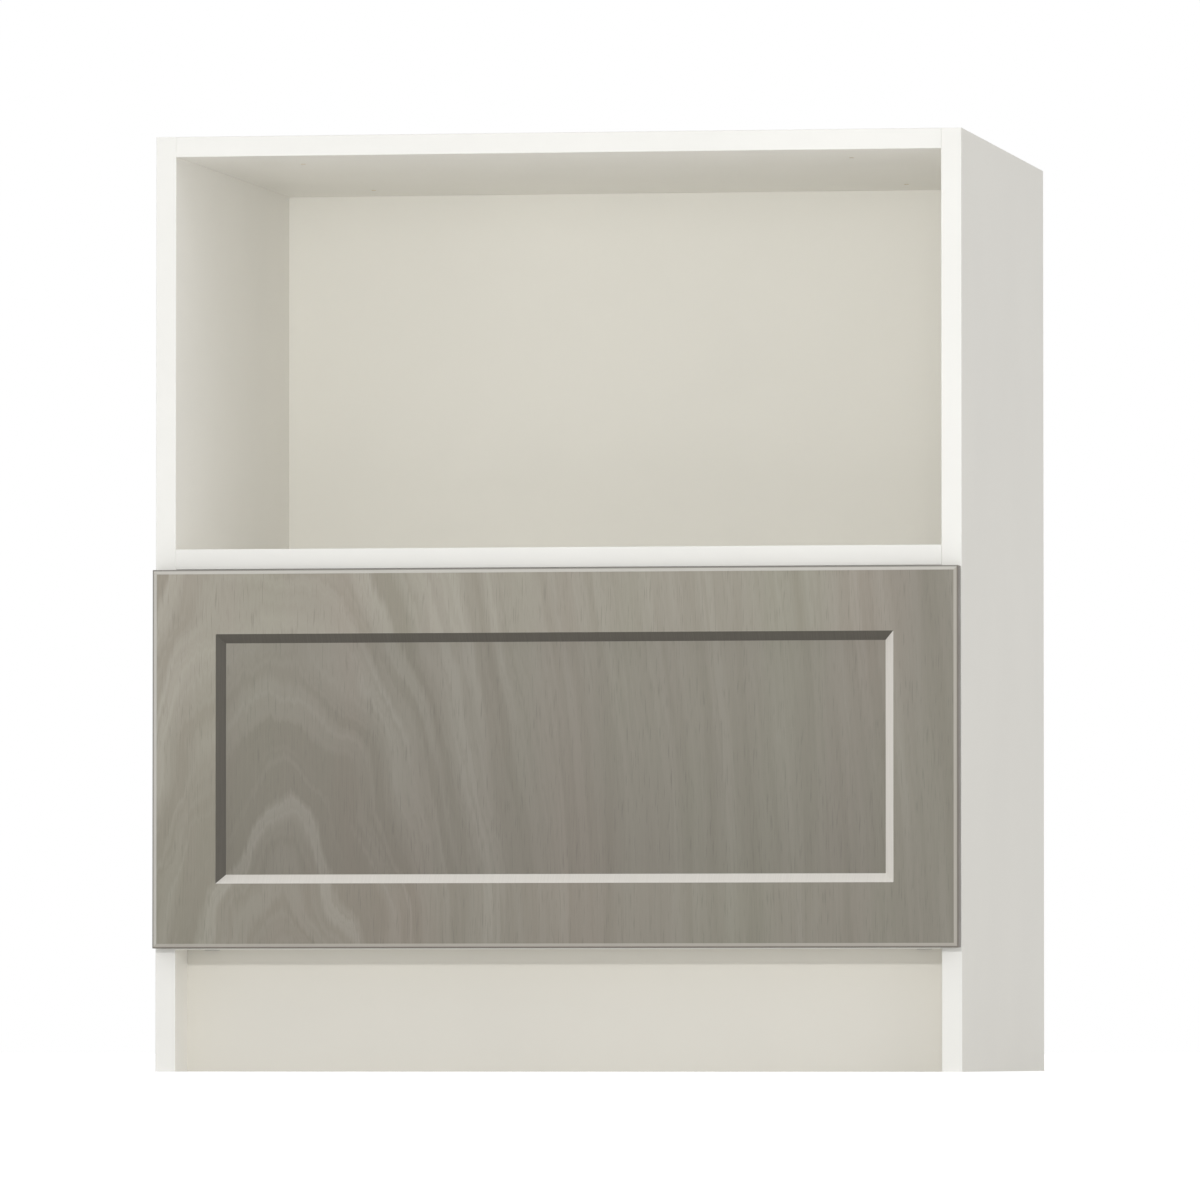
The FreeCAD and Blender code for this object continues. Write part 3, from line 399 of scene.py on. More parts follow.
# Finishes
def chip_core(finish):
    """Colour and height of bare chipboard: fine pale chips of many tones with dark flecks."""
    shift = finish.noise(500, detail=3) * (3.0 * MM) - 1.5 * MM
    x, y, z = finish.place
    bent = finish.stretched(finish.merge(x + shift, y - shift, z + shift), (1.0, 1.0, 1.7))
    large = finish.split(finish.cells(bent, 330))[0]
    small = finish.split(finish.cells(bent, 900))[1]
    dust = finish.noise(1300, detail=5, roughness=0.7)
    mixed = large * 0.45 + small * 0.35 + dust * 0.2
    chip = colours().chip
    colour = finish.shades(mixed, chip, (0.1, 0.55), (0.35, 0.9), (0.6, 1.1), (0.9, 1.3))
    colour = finish.blend(dust.span(0.58, 0.7, 0.0, 0.7), colour, linear(chip, 0.4))
    return colour, mixed + dust


def board_finish(name, face_axis, outer, inner=0):
    """White faced board with bare chip edges.

    face_axis is the axis that its faces look along, and outer is their colour, a white darkened as painted
    shade.
    inner is the side of that axis that looks into the cabinet and is paler, as painted light against the
    shade in
    there: 1, -1, or 0 where neither side is.
    """
    finish = Finish(name)
    drift = finish.noise(5.0, detail=4)
    peel = finish.peel()
    scuff = finish.streaks(90, 30, 60, detail=6, roughness=0.7)
    face = finish.mottled(drift, outer, BOARD_DRIFT)
    # Faces that look into the cabinet take the paler inside white, painted light against the shade in there
    if inner:
        looks_in = finish.facing[face_axis].span(0.4 * inner, 0.6 * inner)
        face = finish.blend(looks_in, face, finish.mottled(drift, colours().inside, BOARD_DRIFT))
    face = finish.blend(scuff.span(0.62, 0.8, 0.0, 0.07), face, linear(outer, 0.8))
    core, core_height = chip_core(finish)
    bare = abs(finish.facing[face_axis]).span(0.75, 0.55)
    colour = finish.blend(bare, face, core)
    rough = peel.span(0.3, 0.7, 0.36, 0.48) + bare * 0.4
    return finish.made(colour, rough, peel + bare * core_height * 6.0, 0.02 * MM)


def band_finish():
    """White plastic edge band with a fine pearled skin and faint handling marks."""
    finish = Finish("white_edge_band")
    pearl = finish.cells(finish.object, 1300, feature="SMOOTH_F1", output="Distance")
    marks = finish.streaks(40, 40, 260, detail=6, roughness=0.72)
    colour = finish.mottled(finish.noise(9.0, detail=5), colours().band, 0.014)
    colour = finish.blend(marks.span(0.63, 0.8, 0.0, 0.2), colour, linear(colours().band, 0.9))
    return finish.made(colour, marks.span(0.3, 0.7, 0.3, 0.42), pearl, 0.03 * MM)


def back_finish():
    """Back panel: white inside, paler as painted light against the shade in the bay, and brown pressed
    hardboard with a screen pattern outside.
    """
    finish = Finish("back_panel_board")
    drift = finish.noise(4.0, detail=4)
    white = finish.mottled(drift, colours().back, BOARD_DRIFT)
    fibres = finish.streaks(260, 260, 90, detail=7, roughness=0.75)
    brown = colours().hardboard
    rear = finish.shades(fibres, brown, (0.2, 0.5), (0.5, 1.0), (0.72, 1.35), (0.9, 1.7))
    rear = finish.blend(drift.span(0.35, 0.75, 0.0, 0.45), rear, linear(brown, 0.72))
    x, y, z = finish.place
    wave = 2 * math.pi / SCREEN_MESH
    screen = finish.step("SINE", x * wave) * finish.step("SINE", z * wave)
    outside = finish.facing[1].span(0.2, 0.4)
    colour = finish.blend(outside, white, rear)
    return finish.made(colour, outside * 0.35 + 0.42, finish.peel() + outside * screen * 3.0, 0.03 * MM)


def oak_grain(finish):
    """Grain of one wide oak leaf: arched rings on the left that run out into upright bands.

    Returns broad bands, growth lines, fine fibres and pores, each from 0 to 1.
    """
    lo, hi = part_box("drawer_front")
    x, y, z = finish.place

    # Distance from the heart of the arches, which is bent, swirled and feathered
    sway = finish.streaks(2.6, 1.0, 1.4, detail=2)
    across = x - (lo.x + ARCH_PLACE) + (sway * 0.07 - 0.035)
    rise = (z - (lo.z + hi.z) / 2) * 0.40 + 0.140
    point = finish.step("SQRT", across * across + 0.0003)
    ripple = finish.streaks(24, 1.0, 3.0, detail=2)
    swirl = finish.streaks(12, 1.0, 9.0, shift=1.7, detail=1)
    looseness = x.span(lo.x + LOOSE_GRAIN[0], lo.x + LOOSE_GRAIN[1], 0.06, 0.0)
    feather = finish.streaks(380, 1.0, 14, detail=3, roughness=0.6)
    radius = finish.step("SQRT", across * across + rise * rise) + point * 0.25
    radius = radius + ripple * 0.012 + (swirl - 0.5) * looseness + feather * 0.010

    # Rings about the heart, strong on the left and calm on the right
    bands = finish.noise(1.0, vector=finish.merge(radius * 50.0, 8.9, z * 2.0))
    contrast = x.span(lo.x + STRONG_GRAIN[0], lo.x + STRONG_GRAIN[1], 1.55, 0.5)
    bands = (bands - 0.5) * contrast + 0.5
    lines = finish.noise(1.0, vector=finish.merge(radius * 260.0, 0.0, z * 4.0))
    fibres = finish.streaks(1500, 1.0, 22, detail=4, roughness=0.65)
    pores = finish.streaks(1050, 1.0, 46, detail=2, roughness=0.4)
    return bands, lines, fibres, pores


def oak_shade(finish, inset):
    """How light the foil is: the frame is paler at the top and the left, and the field is darker, a painted
    shade in its recess that deepens towards the bottom.
    """
    lo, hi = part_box("drawer_front")
    x, y, z = finish.place
    right_stile = x.span(hi.x - 100 * MM, hi.x - 40 * MM)
    fade = z.span(lo.z, hi.z, -0.12, 0.09) + x.span(lo.x, hi.x, 0.03, -0.08)
    fade = fade + right_stile * z.span(lo.z, hi.z, -0.02, -0.17)
    bevel_end = sizes().frame_width + sizes().bevel_width
    field = inset.span(bevel_end - 0.5 * MM, bevel_end + 0.5 * MM)
    # Painted shade in the field's recess, deeper towards the bottom
    field_painted_shade = z.span(lo.z, hi.z, -0.33, -0.10)
    left_lift = x.span(lo.x, lo.x + LEFT_LIGHT, 1.07, 1.0)
    shade = fade * (1 - field) + field * field_painted_shade + left_lift
    return finish.merge(shade, shade, shade)


def oak_finish():
    """Grey oak foil on the drawer front, with a pale rim, painted light and shade on its rim, outline and
    bevels, and a white back.
    """
    finish = Finish("grey_oak_leaf")
    plan = sizes()
    tones = colours()
    bands, lines, fibres, pores = oak_grain(finish)
    wood = finish.ramp(bands, (0.36, linear(tones.oak_dark)), (0.64, linear(tones.oak_light)))
    wood = finish.blend(lines.span(0.45, 0.7, 0.0, 0.4), wood, linear(tones.oak_dark, 0.96))
    wood = finish.blend(fibres.span(0.5, 0.75, 0.0, 0.3), wood, linear(tones.oak_light, 1.06))
    pore_mask = pores.span(0.6, 0.72, 0.0, 0.4)
    wood = finish.blend(pore_mask, wood, linear(tones.oak_pore))
    patch = finish.streaks(11, 1.0, 2.2, shift=3.0, detail=3)
    hue = finish.ramp(patch, (0.3, GREEN_CAST), (0.5, PLAIN_CAST), (0.7, PINK_CAST))
    wood = finish.blend(1.0, wood, hue, "MULTIPLY")

    # Distance from the nearest outer edge
    lo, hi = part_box("drawer_front")
    x, y, z = finish.place
    from_sides = (hi.x - lo.x) / 2 - abs(x)
    from_ends = (hi.z - lo.z) / 2 - abs(z - (hi.z + lo.z) / 2)
    inset = finish.step("MINIMUM", from_sides, from_ends)
    wood = finish.blend(1.0, wood, oak_shade(finish, inset), "MULTIPLY")

    # Rim, outline and bevels: painted light where they look up or left, painted shade where they look down
    # or right.
    # The outline is a painted shade line along the outer edge.
    facing_x, facing_y, facing_z = finish.facing
    pale = (facing_z - facing_x).span(-0.15, 0.15)
    rim = inset.span(plan.rim_width + 0.25 * MM, plan.rim_width - 0.25 * MM)
    # Pale rim with painted light where it looks up or left and painted shade where it looks down or right
    rim_tone = finish.blend(pale, linear(tones.rim_painted_shade), linear(tones.rim_painted_light))
    colour = finish.blend(rim * 0.85, wood, rim_tone)
    # Painted shade line along the outer edge, less dark where it looks up or left
    outline = inset.span(1.7 * MM, 0.9 * MM)
    outline_tone = finish.blend(pale, linear(tones.outline_painted_shade_dark), linear(tones.outline_painted_shade_light))
    colour = finish.blend(outline * 0.9, colour, outline_tone)
    sloped = abs(facing_y).span(0.92, 0.85)
    inside = inset.span(plan.rim_width + 4 * MM, plan.rim_width + 8 * MM)
    # Painted shade and painted highlight on the bevels by the way they face, with a little grain
    bevel_painted_shading = finish.blend(pale, linear(tones.bevel_painted_shade), linear(tones.bevel_painted_highlight))
    bevel_painted_shading = finish.blend(fibres.span(0.4, 0.7, 0.0, 0.12), bevel_painted_shading, linear(tones.oak_dark))
    colour = finish.blend(sloped * inside * 0.95, colour, bevel_painted_shading)

    # The rear face is white board
    white = finish.mottled(finish.noise(5.0, detail=4), tones.board, BOARD_DRIFT)
    colour = finish.blend(facing_y.span(0.3, 0.5), colour, white)
    relief = fibres * 0.5 - pore_mask * 2.0 + finish.peel() * 0.25
    return finish.made(colour, fibres.span(0.3, 0.7, 0.46, 0.6), relief, 0.04 * MM)


def wood_finish(name, grain_axis, pale, line):
    """Clear wood in two tones with its grain along an axis, and end grain across it."""
    finish = Finish(name)

    def grain(across, along, **look):
        stretch = [across, across, across]
        stretch[grain_axis] = along
        return finish.streaks(*stretch, **look)

    bands = grain(70, 3.5, detail=5, roughness=0.6, distortion=0.4)
    fibres = grain(900, 18, detail=4, roughness=0.65)
    flecks = grain(1300, 150, detail=2, roughness=0.4)
    flame = grain(14, 14, detail=3, distortion=0.8)
    wood = finish.ramp(bands, (0.3, linear(pale, 1.1)), (0.55, linear(pale)), (0.75, linear(line)))
    wood = finish.blend(fibres.span(0.45, 0.7, 0.0, 0.6), wood, linear(line, 0.9))
    wood = finish.blend(flecks.span(0.6, 0.7, 0.0, 0.5), wood, linear(line, 0.7))
    wood = finish.blend(flame.span(0.45, 0.7, 0.0, 0.3), wood, linear(pale, 1.16))
    across = [finish.place[axis] for axis in range(3) if axis != grain_axis]
    end_plane = finish.merge(*across, 0.0)
    vessels = finish.noise(1900, detail=3, roughness=0.6, vector=end_plane)
    growth = finish.noise(420, detail=2, vector=finish.stretched(end_plane, (1.0, 0.22, 1.0)))
    end_wood = finish.shades(vessels * 0.6 + growth * 0.4, line, (0.35, 0.5), (0.5, 0.72), (0.65, 0.95))
    end_face = abs(finish.facing[grain_axis]).span(0.6, 0.8)
    colour = finish.blend(end_face, wood, end_wood)
    rough = end_face * 0.2 + fibres.span(0.3, 0.7, 0.3, 0.42)
    return finish.made(colour, rough, fibres, 0.03 * MM)


def metal_finish(name, colour, rough, streak, dull=0.8):
    """Metal with streaks along Y, faint blotches of its plating and a fine scratch relief."""
    finish = Finish(name)
    lines = finish.streaks(1400, streak, 1400, detail=4, roughness=0.7)
    blotch = finish.noise(60, detail=5, roughness=0.65)
    spangle = finish.split(finish.cells(finish.object, 190))[1]
    plate = finish.shades(blotch, colour, (0.3, dull), (0.7, 1.06))
    plate = finish.blend(spangle.span(0.0, 1.0, 0.0, 0.16), plate, linear(colour, 0.72))
    roughness = lines.span(0.25, 0.75, rough - 0.07, rough + 0.09)
    return finish.made(plate, roughness, lines, 0.008 * MM, Metallic=1.0)


def plastic_finish(name, colour, rough, clear=0.0):
    """Moulded plastic or soft rubber with a fine eroded grain."""
    finish = Finish(name)
    grain = finish.noise(2600, detail=3)
    base = finish.shades(finish.noise(120, detail=3), colour, (0.3, 0.85), (0.7, 1.15))
    roughness = grain.span(0.3, 0.7, rough - 0.06, rough + 0.08)
    return finish.made(base, roughness, grain, 0.015 * MM, Transmission_Weight=clear)


# Shapes
def dress(names, material, ease=0.0):
    """Gives frame nodes a finish and, where ease is given, slightly rounded edges."""
    for name in names:
        node = frame["nodes"][name]
        node.data.materials.clear()
        node.data.materials.append(material)
        if ease:
            node.modifiers.new("Weld", "WELD").merge_threshold = SAME_PLACE
            flats = node.modifiers.new("Flats", "DECIMATE")
            flats.decimate_type = "DISSOLVE"
            flats.angle_limit = FLAT_BEND
            edges = node.modifiers.new("Ease", "BEVEL")
            edges.width = ease
            edges.segments = 2
            edges.limit_method = "ANGLE"
            edges.angle_limit = math.radians(30)


def body_of(node):
    """The body that a frame node belongs to."""
    bodies = frame["record"]["behaviour"]["bodies"]
    return next(body for body, nodes in bodies.items() if node in nodes)


def mesh_of(name, shape):
    """A mesh made from a bmesh, which is used up."""
    mesh = bpy.data.meshes.new(name)
    shape.to_mesh(mesh)
    shape.free()
    return mesh


def added(name, data):
    """A new object in the scene."""
    item = bpy.data.objects.new(name, data)
    bpy.context.scene.collection.objects.link(item)
    return item


def add_piece(name, shape, material, node, replaces=True, sharp=35.0):
    """Turns a bmesh into a piece that rides with a frame node and, where replaces is true, replaces it.

    The piece is shaded smooth apart from edges that bend by more than sharp, in degrees.
    """
    mesh = mesh_of(name, shape)
    mesh.shade_smooth()
    mesh.set_sharp_from_angle(angle=math.radians(sharp))
    mesh.materials.append(material)
    piece = added(name, mesh)
    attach(piece, body_of(node))
    if replaces:
        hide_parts(node)


def merged_copy(node):
    """A bmesh copy of a frame node with its loose triangles joined and flat faces made whole."""
    shape = bmesh.new()
    shape.from_mesh(frame["nodes"][node].data)
    bmesh.ops.remove_doubles(shape, verts=shape.verts, dist=SAME_PLACE)
    bmesh.ops.dissolve_limit(shape, angle_limit=FLAT_BEND, verts=shape.verts, edges=shape.edges)
    return shape


def solids_of(node):
    """The lowest and highest corner of each separate solid of a frame node."""
    shape = merged_copy(node)
    waiting = set(shape.verts)
    boxes = []
    while waiting:
        found = [waiting.pop()]
        for vertex in found:
            near = [edge.other_vert(vertex) for edge in vertex.link_edges]
            fresh = [other for other in near if other in waiting]
            waiting.difference_update(fresh)
            found.extend(fresh)
        axes = list(zip(*[vertex.co for vertex in found]))
        boxes.append((Vector([min(axis) for axis in axes]), Vector([max(axis) for axis in axes])))
    shape.free()
    return sorted(boxes, key=lambda box: tuple(round(value, 5) for value in box[0]))


def middles_of(node, sign):
    """The middles of a frame node's solids on one side of the cabinet."""
    return [(low + high) / 2 for low, high in solids_of(node) if low.x * sign > 0]


def length_along(box, direction):
    """How long a box is in a direction along an axis, in millimetres."""
    low, high = box
    return abs(direction.dot(high - low)) / MM


def end_of(box, direction):
    """The middle of the face of a box that looks in a direction along an axis."""
    low, high = box
    return (low + high) / 2 + direction * (length_along(box, direction) * MM / 2)


def axis_of(box, pick):
    """The number of a box's longest or shortest axis, picked by max or min."""
    low, high = box
    return pick(range(3), key=lambda number: high[number] - low[number])


def inward(box):
    """The direction along X to the middle of the cabinet."""
    low, high = box
    return -X if low.x + high.x > 0 else X


def aimed(direction, place):
    """The matrix that turns +Z to a direction and moves the origin to a place."""
    return Matrix.Translation(place) @ direction.to_track_quat("Z", "Y").to_matrix().to_4x4()


def repeated(pattern, places, shape=None):
    """A copy of a pattern at each matrix, added to a bmesh or in a new one. The pattern is used up."""
    mesh = mesh_of("pattern", pattern)
    if shape is None:
        shape = bmesh.new()
    for place in places:
        before = len(shape.verts)
        shape.from_mesh(mesh)
        shape.verts.ensure_lookup_table()
        bmesh.ops.transform(shape, matrix=place, verts=shape.verts[before:])
    bpy.data.meshes.remove(mesh)
    return shape


def ease_edges(shape, width, segments, bend):
    """Rounds the edges of a bmesh that bend by more than an angle in degrees."""
    sharp = [edge for edge in shape.edges if edge.calc_face_angle(0) > math.radians(bend)]
    look = {"offset_type": "OFFSET", "profile": 0.5, "material": -1, "clamp_overlap": True}
    bmesh.ops.bevel(shape, geom=sharp, offset=width, segments=segments, affect="EDGES", **look)


def spun(profile, steps=None):
    """A solid turned about Z from points (radius, height) in millimetres, closed at both ends."""
    shape = bmesh.new()
    points = [shape.verts.new((radius * MM, 0, height * MM)) for radius, height in profile]
    for first, second in zip(points, points[1:]):
        shape.edges.new((first, second))
    steps = steps or sizes().round_steps
    geometry = list(shape.verts) + list(shape.edges)
    bmesh.ops.spin(
        shape, geom=geometry, cent=(0, 0, 0), axis=(0, 0, 1), angle=2 * math.pi, steps=steps, use_merge=True
    )
    bmesh.ops.remove_doubles(shape, verts=shape.verts, dist=0.001 * MM)
    bmesh.ops.holes_fill(shape, edges=shape.edges, sides=0)
    bmesh.ops.recalc_face_normals(shape, faces=shape.faces)
    return shape


def cut_cross(shape, height, reach, width, depth, taper):
    """Sinks a tapered cross recess into the flat face of a turned solid at a height, in millimetres."""
    top = height * MM
    level = [face for face in shape.faces if abs(face.calc_center_median().z - top) < 0.001 * MM]
    face = max(level, key=lambda item: len(item.verts))
    outer = list(face.edges)
    bmesh.ops.delete(shape, geom=[face], context="FACES_ONLY")
    long, slim = reach * MM, width * MM / 2
    mouth = []
    for turn in range(4):
        quarter = Matrix.Rotation(turn * math.pi / 2, 3, "Z")
        for x, y in ((long, -slim), (long, slim), (slim, slim)):
            mouth.append(shape.verts.new(quarter @ Vector((x, y, top))))
    loop = [shape.edges.new((mouth[number - 1], mouth[number])) for number in range(len(mouth))]
    bmesh.ops.bridge_loops(shape, edges=outer + loop)
    floor = bmesh.ops.extrude_discrete_faces(shape, faces=[shape.faces.new(mouth)])["faces"][0]
    bmesh.ops.scale(shape, vec=(taper, taper, 1), verts=floor.verts)
    bmesh.ops.translate(shape, vec=(0, 0, -depth * MM), verts=floor.verts)
    bmesh.ops.recalc_face_normals(shape, faces=shape.faces)
    return shape


# Fittings: each is made from its length in millimetres and hangs down from its head at the origin
def sunk_screw(length):
    """A countersunk screw, flush with the face that it is driven into."""
    profile = [(0.3, -length), (1.9, 3 - length), (1.9, -2.2)]
    profile += [(3.85, -0.3), (3.9, -0.08), (3.7, 0), (3.0, 0)]
    return cut_cross(spun(profile), height=0, reach=2.4, width=0.95, depth=1.8, taper=0.6)


def domed_screw(length, head):
    """A round-head screw that stands on the face that it is driven into."""
    profile = [(0.3, -length), (1.9, 3 - length), (1.9, -head), (3.9, -head), (3.95, -head * 0.8)]
    profile += [(3.8, -head * 0.5), (3.4, -head * 0.2), (2.8, 0), (2.6, 0)]
    return cut_cross(spun(profile), height=0, reach=2.2, width=0.95, depth=min(1.6, head * 0.8), taper=0.6)


def rivet(length):
    """A domed rivet that a release lever turns on."""
    profile = [(1.95, -length), (1.95, -0.9), (3.5, -0.9), (3.4, -0.5), (2.8, -0.2), (1.6, -0.03), (0.4, 0)]
    return spun(profile)


def cam(length):
    """A round cam with a thin flange and a cross recess, flush with the board's face."""
    radius, flange, rise = 7.3, 8.2, 0.45
    dish = rise - 0.5
    profile = [(radius * 0.6, -length), (radius * 0.96, -length), (radius, 0.4 - length)]
    profile += [(radius, rise - 0.24), (flange, rise - 0.24), (flange, rise - 0.1), (flange - 0.15, rise)]
    profile += [(radius * 0.80, rise), (radius * 0.74, dish), (radius * 0.62, dish)]
    return cut_cross(spun(profile), height=dish, reach=3.7, width=1.5, depth=2.6, taper=0.72)


def cam_bolt(length):
    """A bolt with a ribbed thread, a collar, a slim neck and a ball head."""
    core, thread, collar, shank, neck, ball = 1.8, 2.4, 3.4, 2.3, 1.7, 3.4
    thread_end = 11.0 - length
    rib = 1.1
    height = 0.5 - length
    profile = [(0.6, -length)]
    while height + rib < thread_end:
        profile += [(core, height), (thread, height + rib / 2)]
        height += rib
    profile += [(core, thread_end), (collar, thread_end + 0.1), (collar, thread_end + 1.4)]
    profile += [(shank, thread_end + 1.6), (shank, -9.0), (neck, -8.2), (neck, -6.5)]
    for step in range(-2, 4):
        angle = math.radians(step * 24)
        profile.append((ball * math.cos(angle), ball * math.sin(angle) - 3.6))
    return spun(profile)


def in_flute(point, radius):
    """Every third line of points round a dowel's barrel is a flute."""
    on_barrel = math.hypot(point.x, point.y) > radius * 0.98
    turn = round(math.degrees(math.atan2(point.y, point.x)) / 10)
    return on_barrel and turn % 3 == 0


def dowel(length):
    """A dowel with long flutes and chamfered ends."""
    radius, tip, chamfer, flute = 3.9, 3.1, 0.9, 0.92
    shape = spun([(tip, -length), (radius, chamfer - length), (radius, -chamfer), (tip, 0)], steps=36)
    grooves = [vertex for vertex in shape.verts if in_flute(vertex.co, radius * MM)]
    bmesh.ops.scale(shape, vec=(flute, flute, 1), verts=grooves)
    return shape


def bumper(length):
    """A soft disc with a low crown."""
    radius = 4.7
    crown = ((1, -1), (1, -0.55), (0.94, -0.28), (0.78, -0.1), (0.5, -0.02), (0.15, 0))
    return spun([(radius * out, length * up) for out, up in crown])


def cam_face(box):
    """Cams look back out of upright boards, up out of the top panel and down out of the other boards."""
    if axis_of(box, min) == 1:
        return Y
    top_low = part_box("top_panel")[0].z
    return Z if box[0].z > top_low else -Z


def add_fittings(name, node, direction_of, fitting_of, material, sharp=35.0):
    """Replaces each solid of a frame node with a fitting, whose head looks in a direction."""
    shape = None
    for box in solids_of(node):
        direction = direction_of(box)
        fitting = fitting_of(length_along(box, direction))
        shape = repeated(fitting, [aimed(direction, end_of(box, direction))], shape)
    add_piece(name, shape, material, node, sharp=sharp)


# Screws and rivets: node, direction of the heads and shape
FASTENERS = (
    ("nailer_screws", lambda box: (X, Y, Z)[axis_of(box, max)], sunk_screw),
    ("cabinet_runner_screws", inward, sunk_screw),
    ("drawer_runner_screws", lambda box: -inward(box), partial(domed_screw, head=1.9)),
    ("front_fixing_screws", lambda box: Y, partial(domed_screw, head=2.5)),
    ("lever_rivets", lambda box: -inward(box), rivet),
)


# Rims that are pressed up about holes
def rim(inner, outer):
    """A rounded rim between two radii in millimetres."""
    lip, sunk, crown = 0.35, -0.2, outer - 0.7
    return spun([(inner, sunk), (inner, lip), (crown, lip), (outer, 0), (outer, sunk), (inner, sunk)])


def add_hole_rims(side, sign, steel):
    """Round rims about a middle runner's access holes, which lie over the cabinet runner's screws."""
    node = side + "_middle_runner"
    web = max(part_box(node), key=lambda corner: corner.x * sign).x
    screws = middles_of("cabinet_runner_screws", sign)
    places = [aimed(X * sign, Vector((web, screw.y, screw.z))) for screw in screws]
    shape = repeated(rim(5.6, 7.3), places)
    add_piece(side + "_access_hole_rims", shape, steel, node, replaces=False)


def add_slot_rims(side, sign, steel):
    """Upright oval rims about the slots of a drawer runner, beside its end screws."""
    plan = sizes()
    node = side + "_drawer_runner"
    web = min(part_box(node), key=lambda corner: corner.x * sign).x + plan.sheet * sign
    screws = sorted(middles_of("drawer_runner_screws", sign), key=lambda screw: screw.y)
    oval = rim(1.6, 3.5)
    half_step = Matrix.Rotation(math.pi / plan.round_steps, 3, "Z")
    bmesh.ops.rotate(oval, cent=(0, 0, 0), matrix=half_step, verts=oval.verts)
    for vertex in oval.verts:
        vertex.co.y += math.copysign(plan.slot_reach, vertex.co.y)
    slots = (screws[0].y + plan.slot_step, screws[-1].y - plan.slot_step)
    places = [aimed(X * sign, Vector((web, slot, screws[0].z))) for slot in slots]
    shape = repeated(oval, places)
    add_piece(side + "_slot_rims", shape, steel, node, replaces=False)


# Stage
def heading(turn, rise):
    """The direction that is turned to the right of +Y and raised above the horizon."""
    level = math.cos(rise)
    return Vector((math.sin(turn) * level, math.cos(turn) * level, math.sin(rise)))


def add_floor():
    """A plain pale floor that looks white to the camera and keeps the cabinet's shadow."""
    shape = bmesh.new()
    bmesh.ops.create_grid(shape, x_segments=1, y_segments=1, size=studio().floor_reach)
    floor = added("studio_floor", mesh_of("studio_floor", shape))
    finish = Finish("studio_floor_paint")
    paint = finish.ramp(finish.noise(3.0, detail=4), (0.3, grey(0.91)), (0.7, grey(0.93)))
    lift = finish.seen() * studio().floor_lift
    finish.fill(finish.shader, Base_Color=paint, Roughness=0.9)
    finish.fill(finish.shader, Emission_Color=grey(1), Emission_Strength=lift)
    floor.data.materials.append(finish.material)


def set_background(scene):
    """Soft light from all sides, more from the front, and plain white where it is seen."""
    world = bpy.data.worlds.new("studio_world")
    world.use_nodes = True
    tree = Tree(world.node_tree)
    x, y, z = tree.split(tree.node("TexCoord").outputs["Generated"])
    front = abs(tree.step("MINIMUM", y, 0.0))
    glow = tree.step("POWER", front, studio().soft_box_focus)
    light = glow * studio().soft_box + studio().ambient
    seen = tree.seen()
    tree.fill(tree.nodes["Background"], Color=grey(1), Strength=light * (1 - seen) + seen)
    scene.world = world


def add_distant_lamp(name, level, turn, rise, softness):
    """A distant lamp. Level 1 shows a colour as written on a face that looks at the lamp."""
    data = bpy.data.lights.new(name, "SUN")
    data.energy = level * math.pi
    data.angle = math.radians(softness)
    source = heading(math.radians(turn), math.radians(rise))
    added(name, data).rotation_euler = source.to_track_quat("Z", "Y").to_euler()


def add_near_lamp(name, level, place, radius):
    """A round lamp in the room that is neither seen nor mirrored. Level 1 shows a colour as written."""
    lo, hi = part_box("drawer_front")
    distance = (place - (lo + hi) / 2).length
    data = bpy.data.lights.new(name, "POINT")
    data.energy = level * (2 * math.pi * distance) ** 2
    data.shadow_soft_size = radius
    lamp = added(name, data)
    lamp.location = place
    lamp.visible_camera = False
    lamp.visible_glossy = False


def add_camera(scene):
    """A long lens near the floor, to the right of the cabinet."""
    plan = studio()
    data = bpy.data.cameras.new("studio_camera")
    data.lens = plan.camera_lens
    data.sensor_width = SENSOR_WIDTH
    data.clip_end = SIGHT
    camera = added("studio_camera", data)
    camera.location = plan.camera_place
    ahead = heading(plan.camera_turn, plan.camera_tilt)
    camera.rotation_euler = ahead.to_track_quat("-Z", "Y").to_euler()
    scene.camera = camera


# Operators, one for each group of pieces and one for the stage
class CabinetOperator(bpy.types.Operator):
    """Shared options of the cabinet's operators."""

    bl_options = {"REGISTER", "UNDO"}


class CABINET_OT_boards(CabinetOperator):
    """Finish the white boards of the carcass"""

    bl_idname = "cabinet.boards"
    bl_label = "Finish Boards"

    def execute(self, context):
        ease = sizes().board_ease
        white = colours().board
        dress(("left_side_panel",), board_finish("white_board_left", 0, white, 1))
        dress(("right_side_panel",), board_finish("white_board_right", 0, white, -1))
        dress(("top_panel",), board_finish("white_board_top", 2, white, -1))
        dress(("microwave_shelf", "bottom_panel"), board_finish("white_board_level", 2, white, 1))
        dress(("toe_kick_board",), board_finish("white_board_toe", 1, colours().toe))
        nailers = ("top_nailer", "middle_nailer", "bottom_nailer")
        dress(nailers, board_finish("white_board_nailers", 1, white), ease)
        dress(("back_panel",), back_finish(), ease)
        return {"FINISHED"}


class CABINET_OT_edge_bands(CabinetOperator):
    """Finish the plastic edge bands"""

    bl_idname = "cabinet.edge_bands"
    bl_label = "Finish Edge Bands"

    def execute(self, context):
        names = [name for name in frame["nodes"] if name.endswith("edge_band")]
        dress(names, band_finish(), sizes().band_ease)
        return {"FINISHED"}


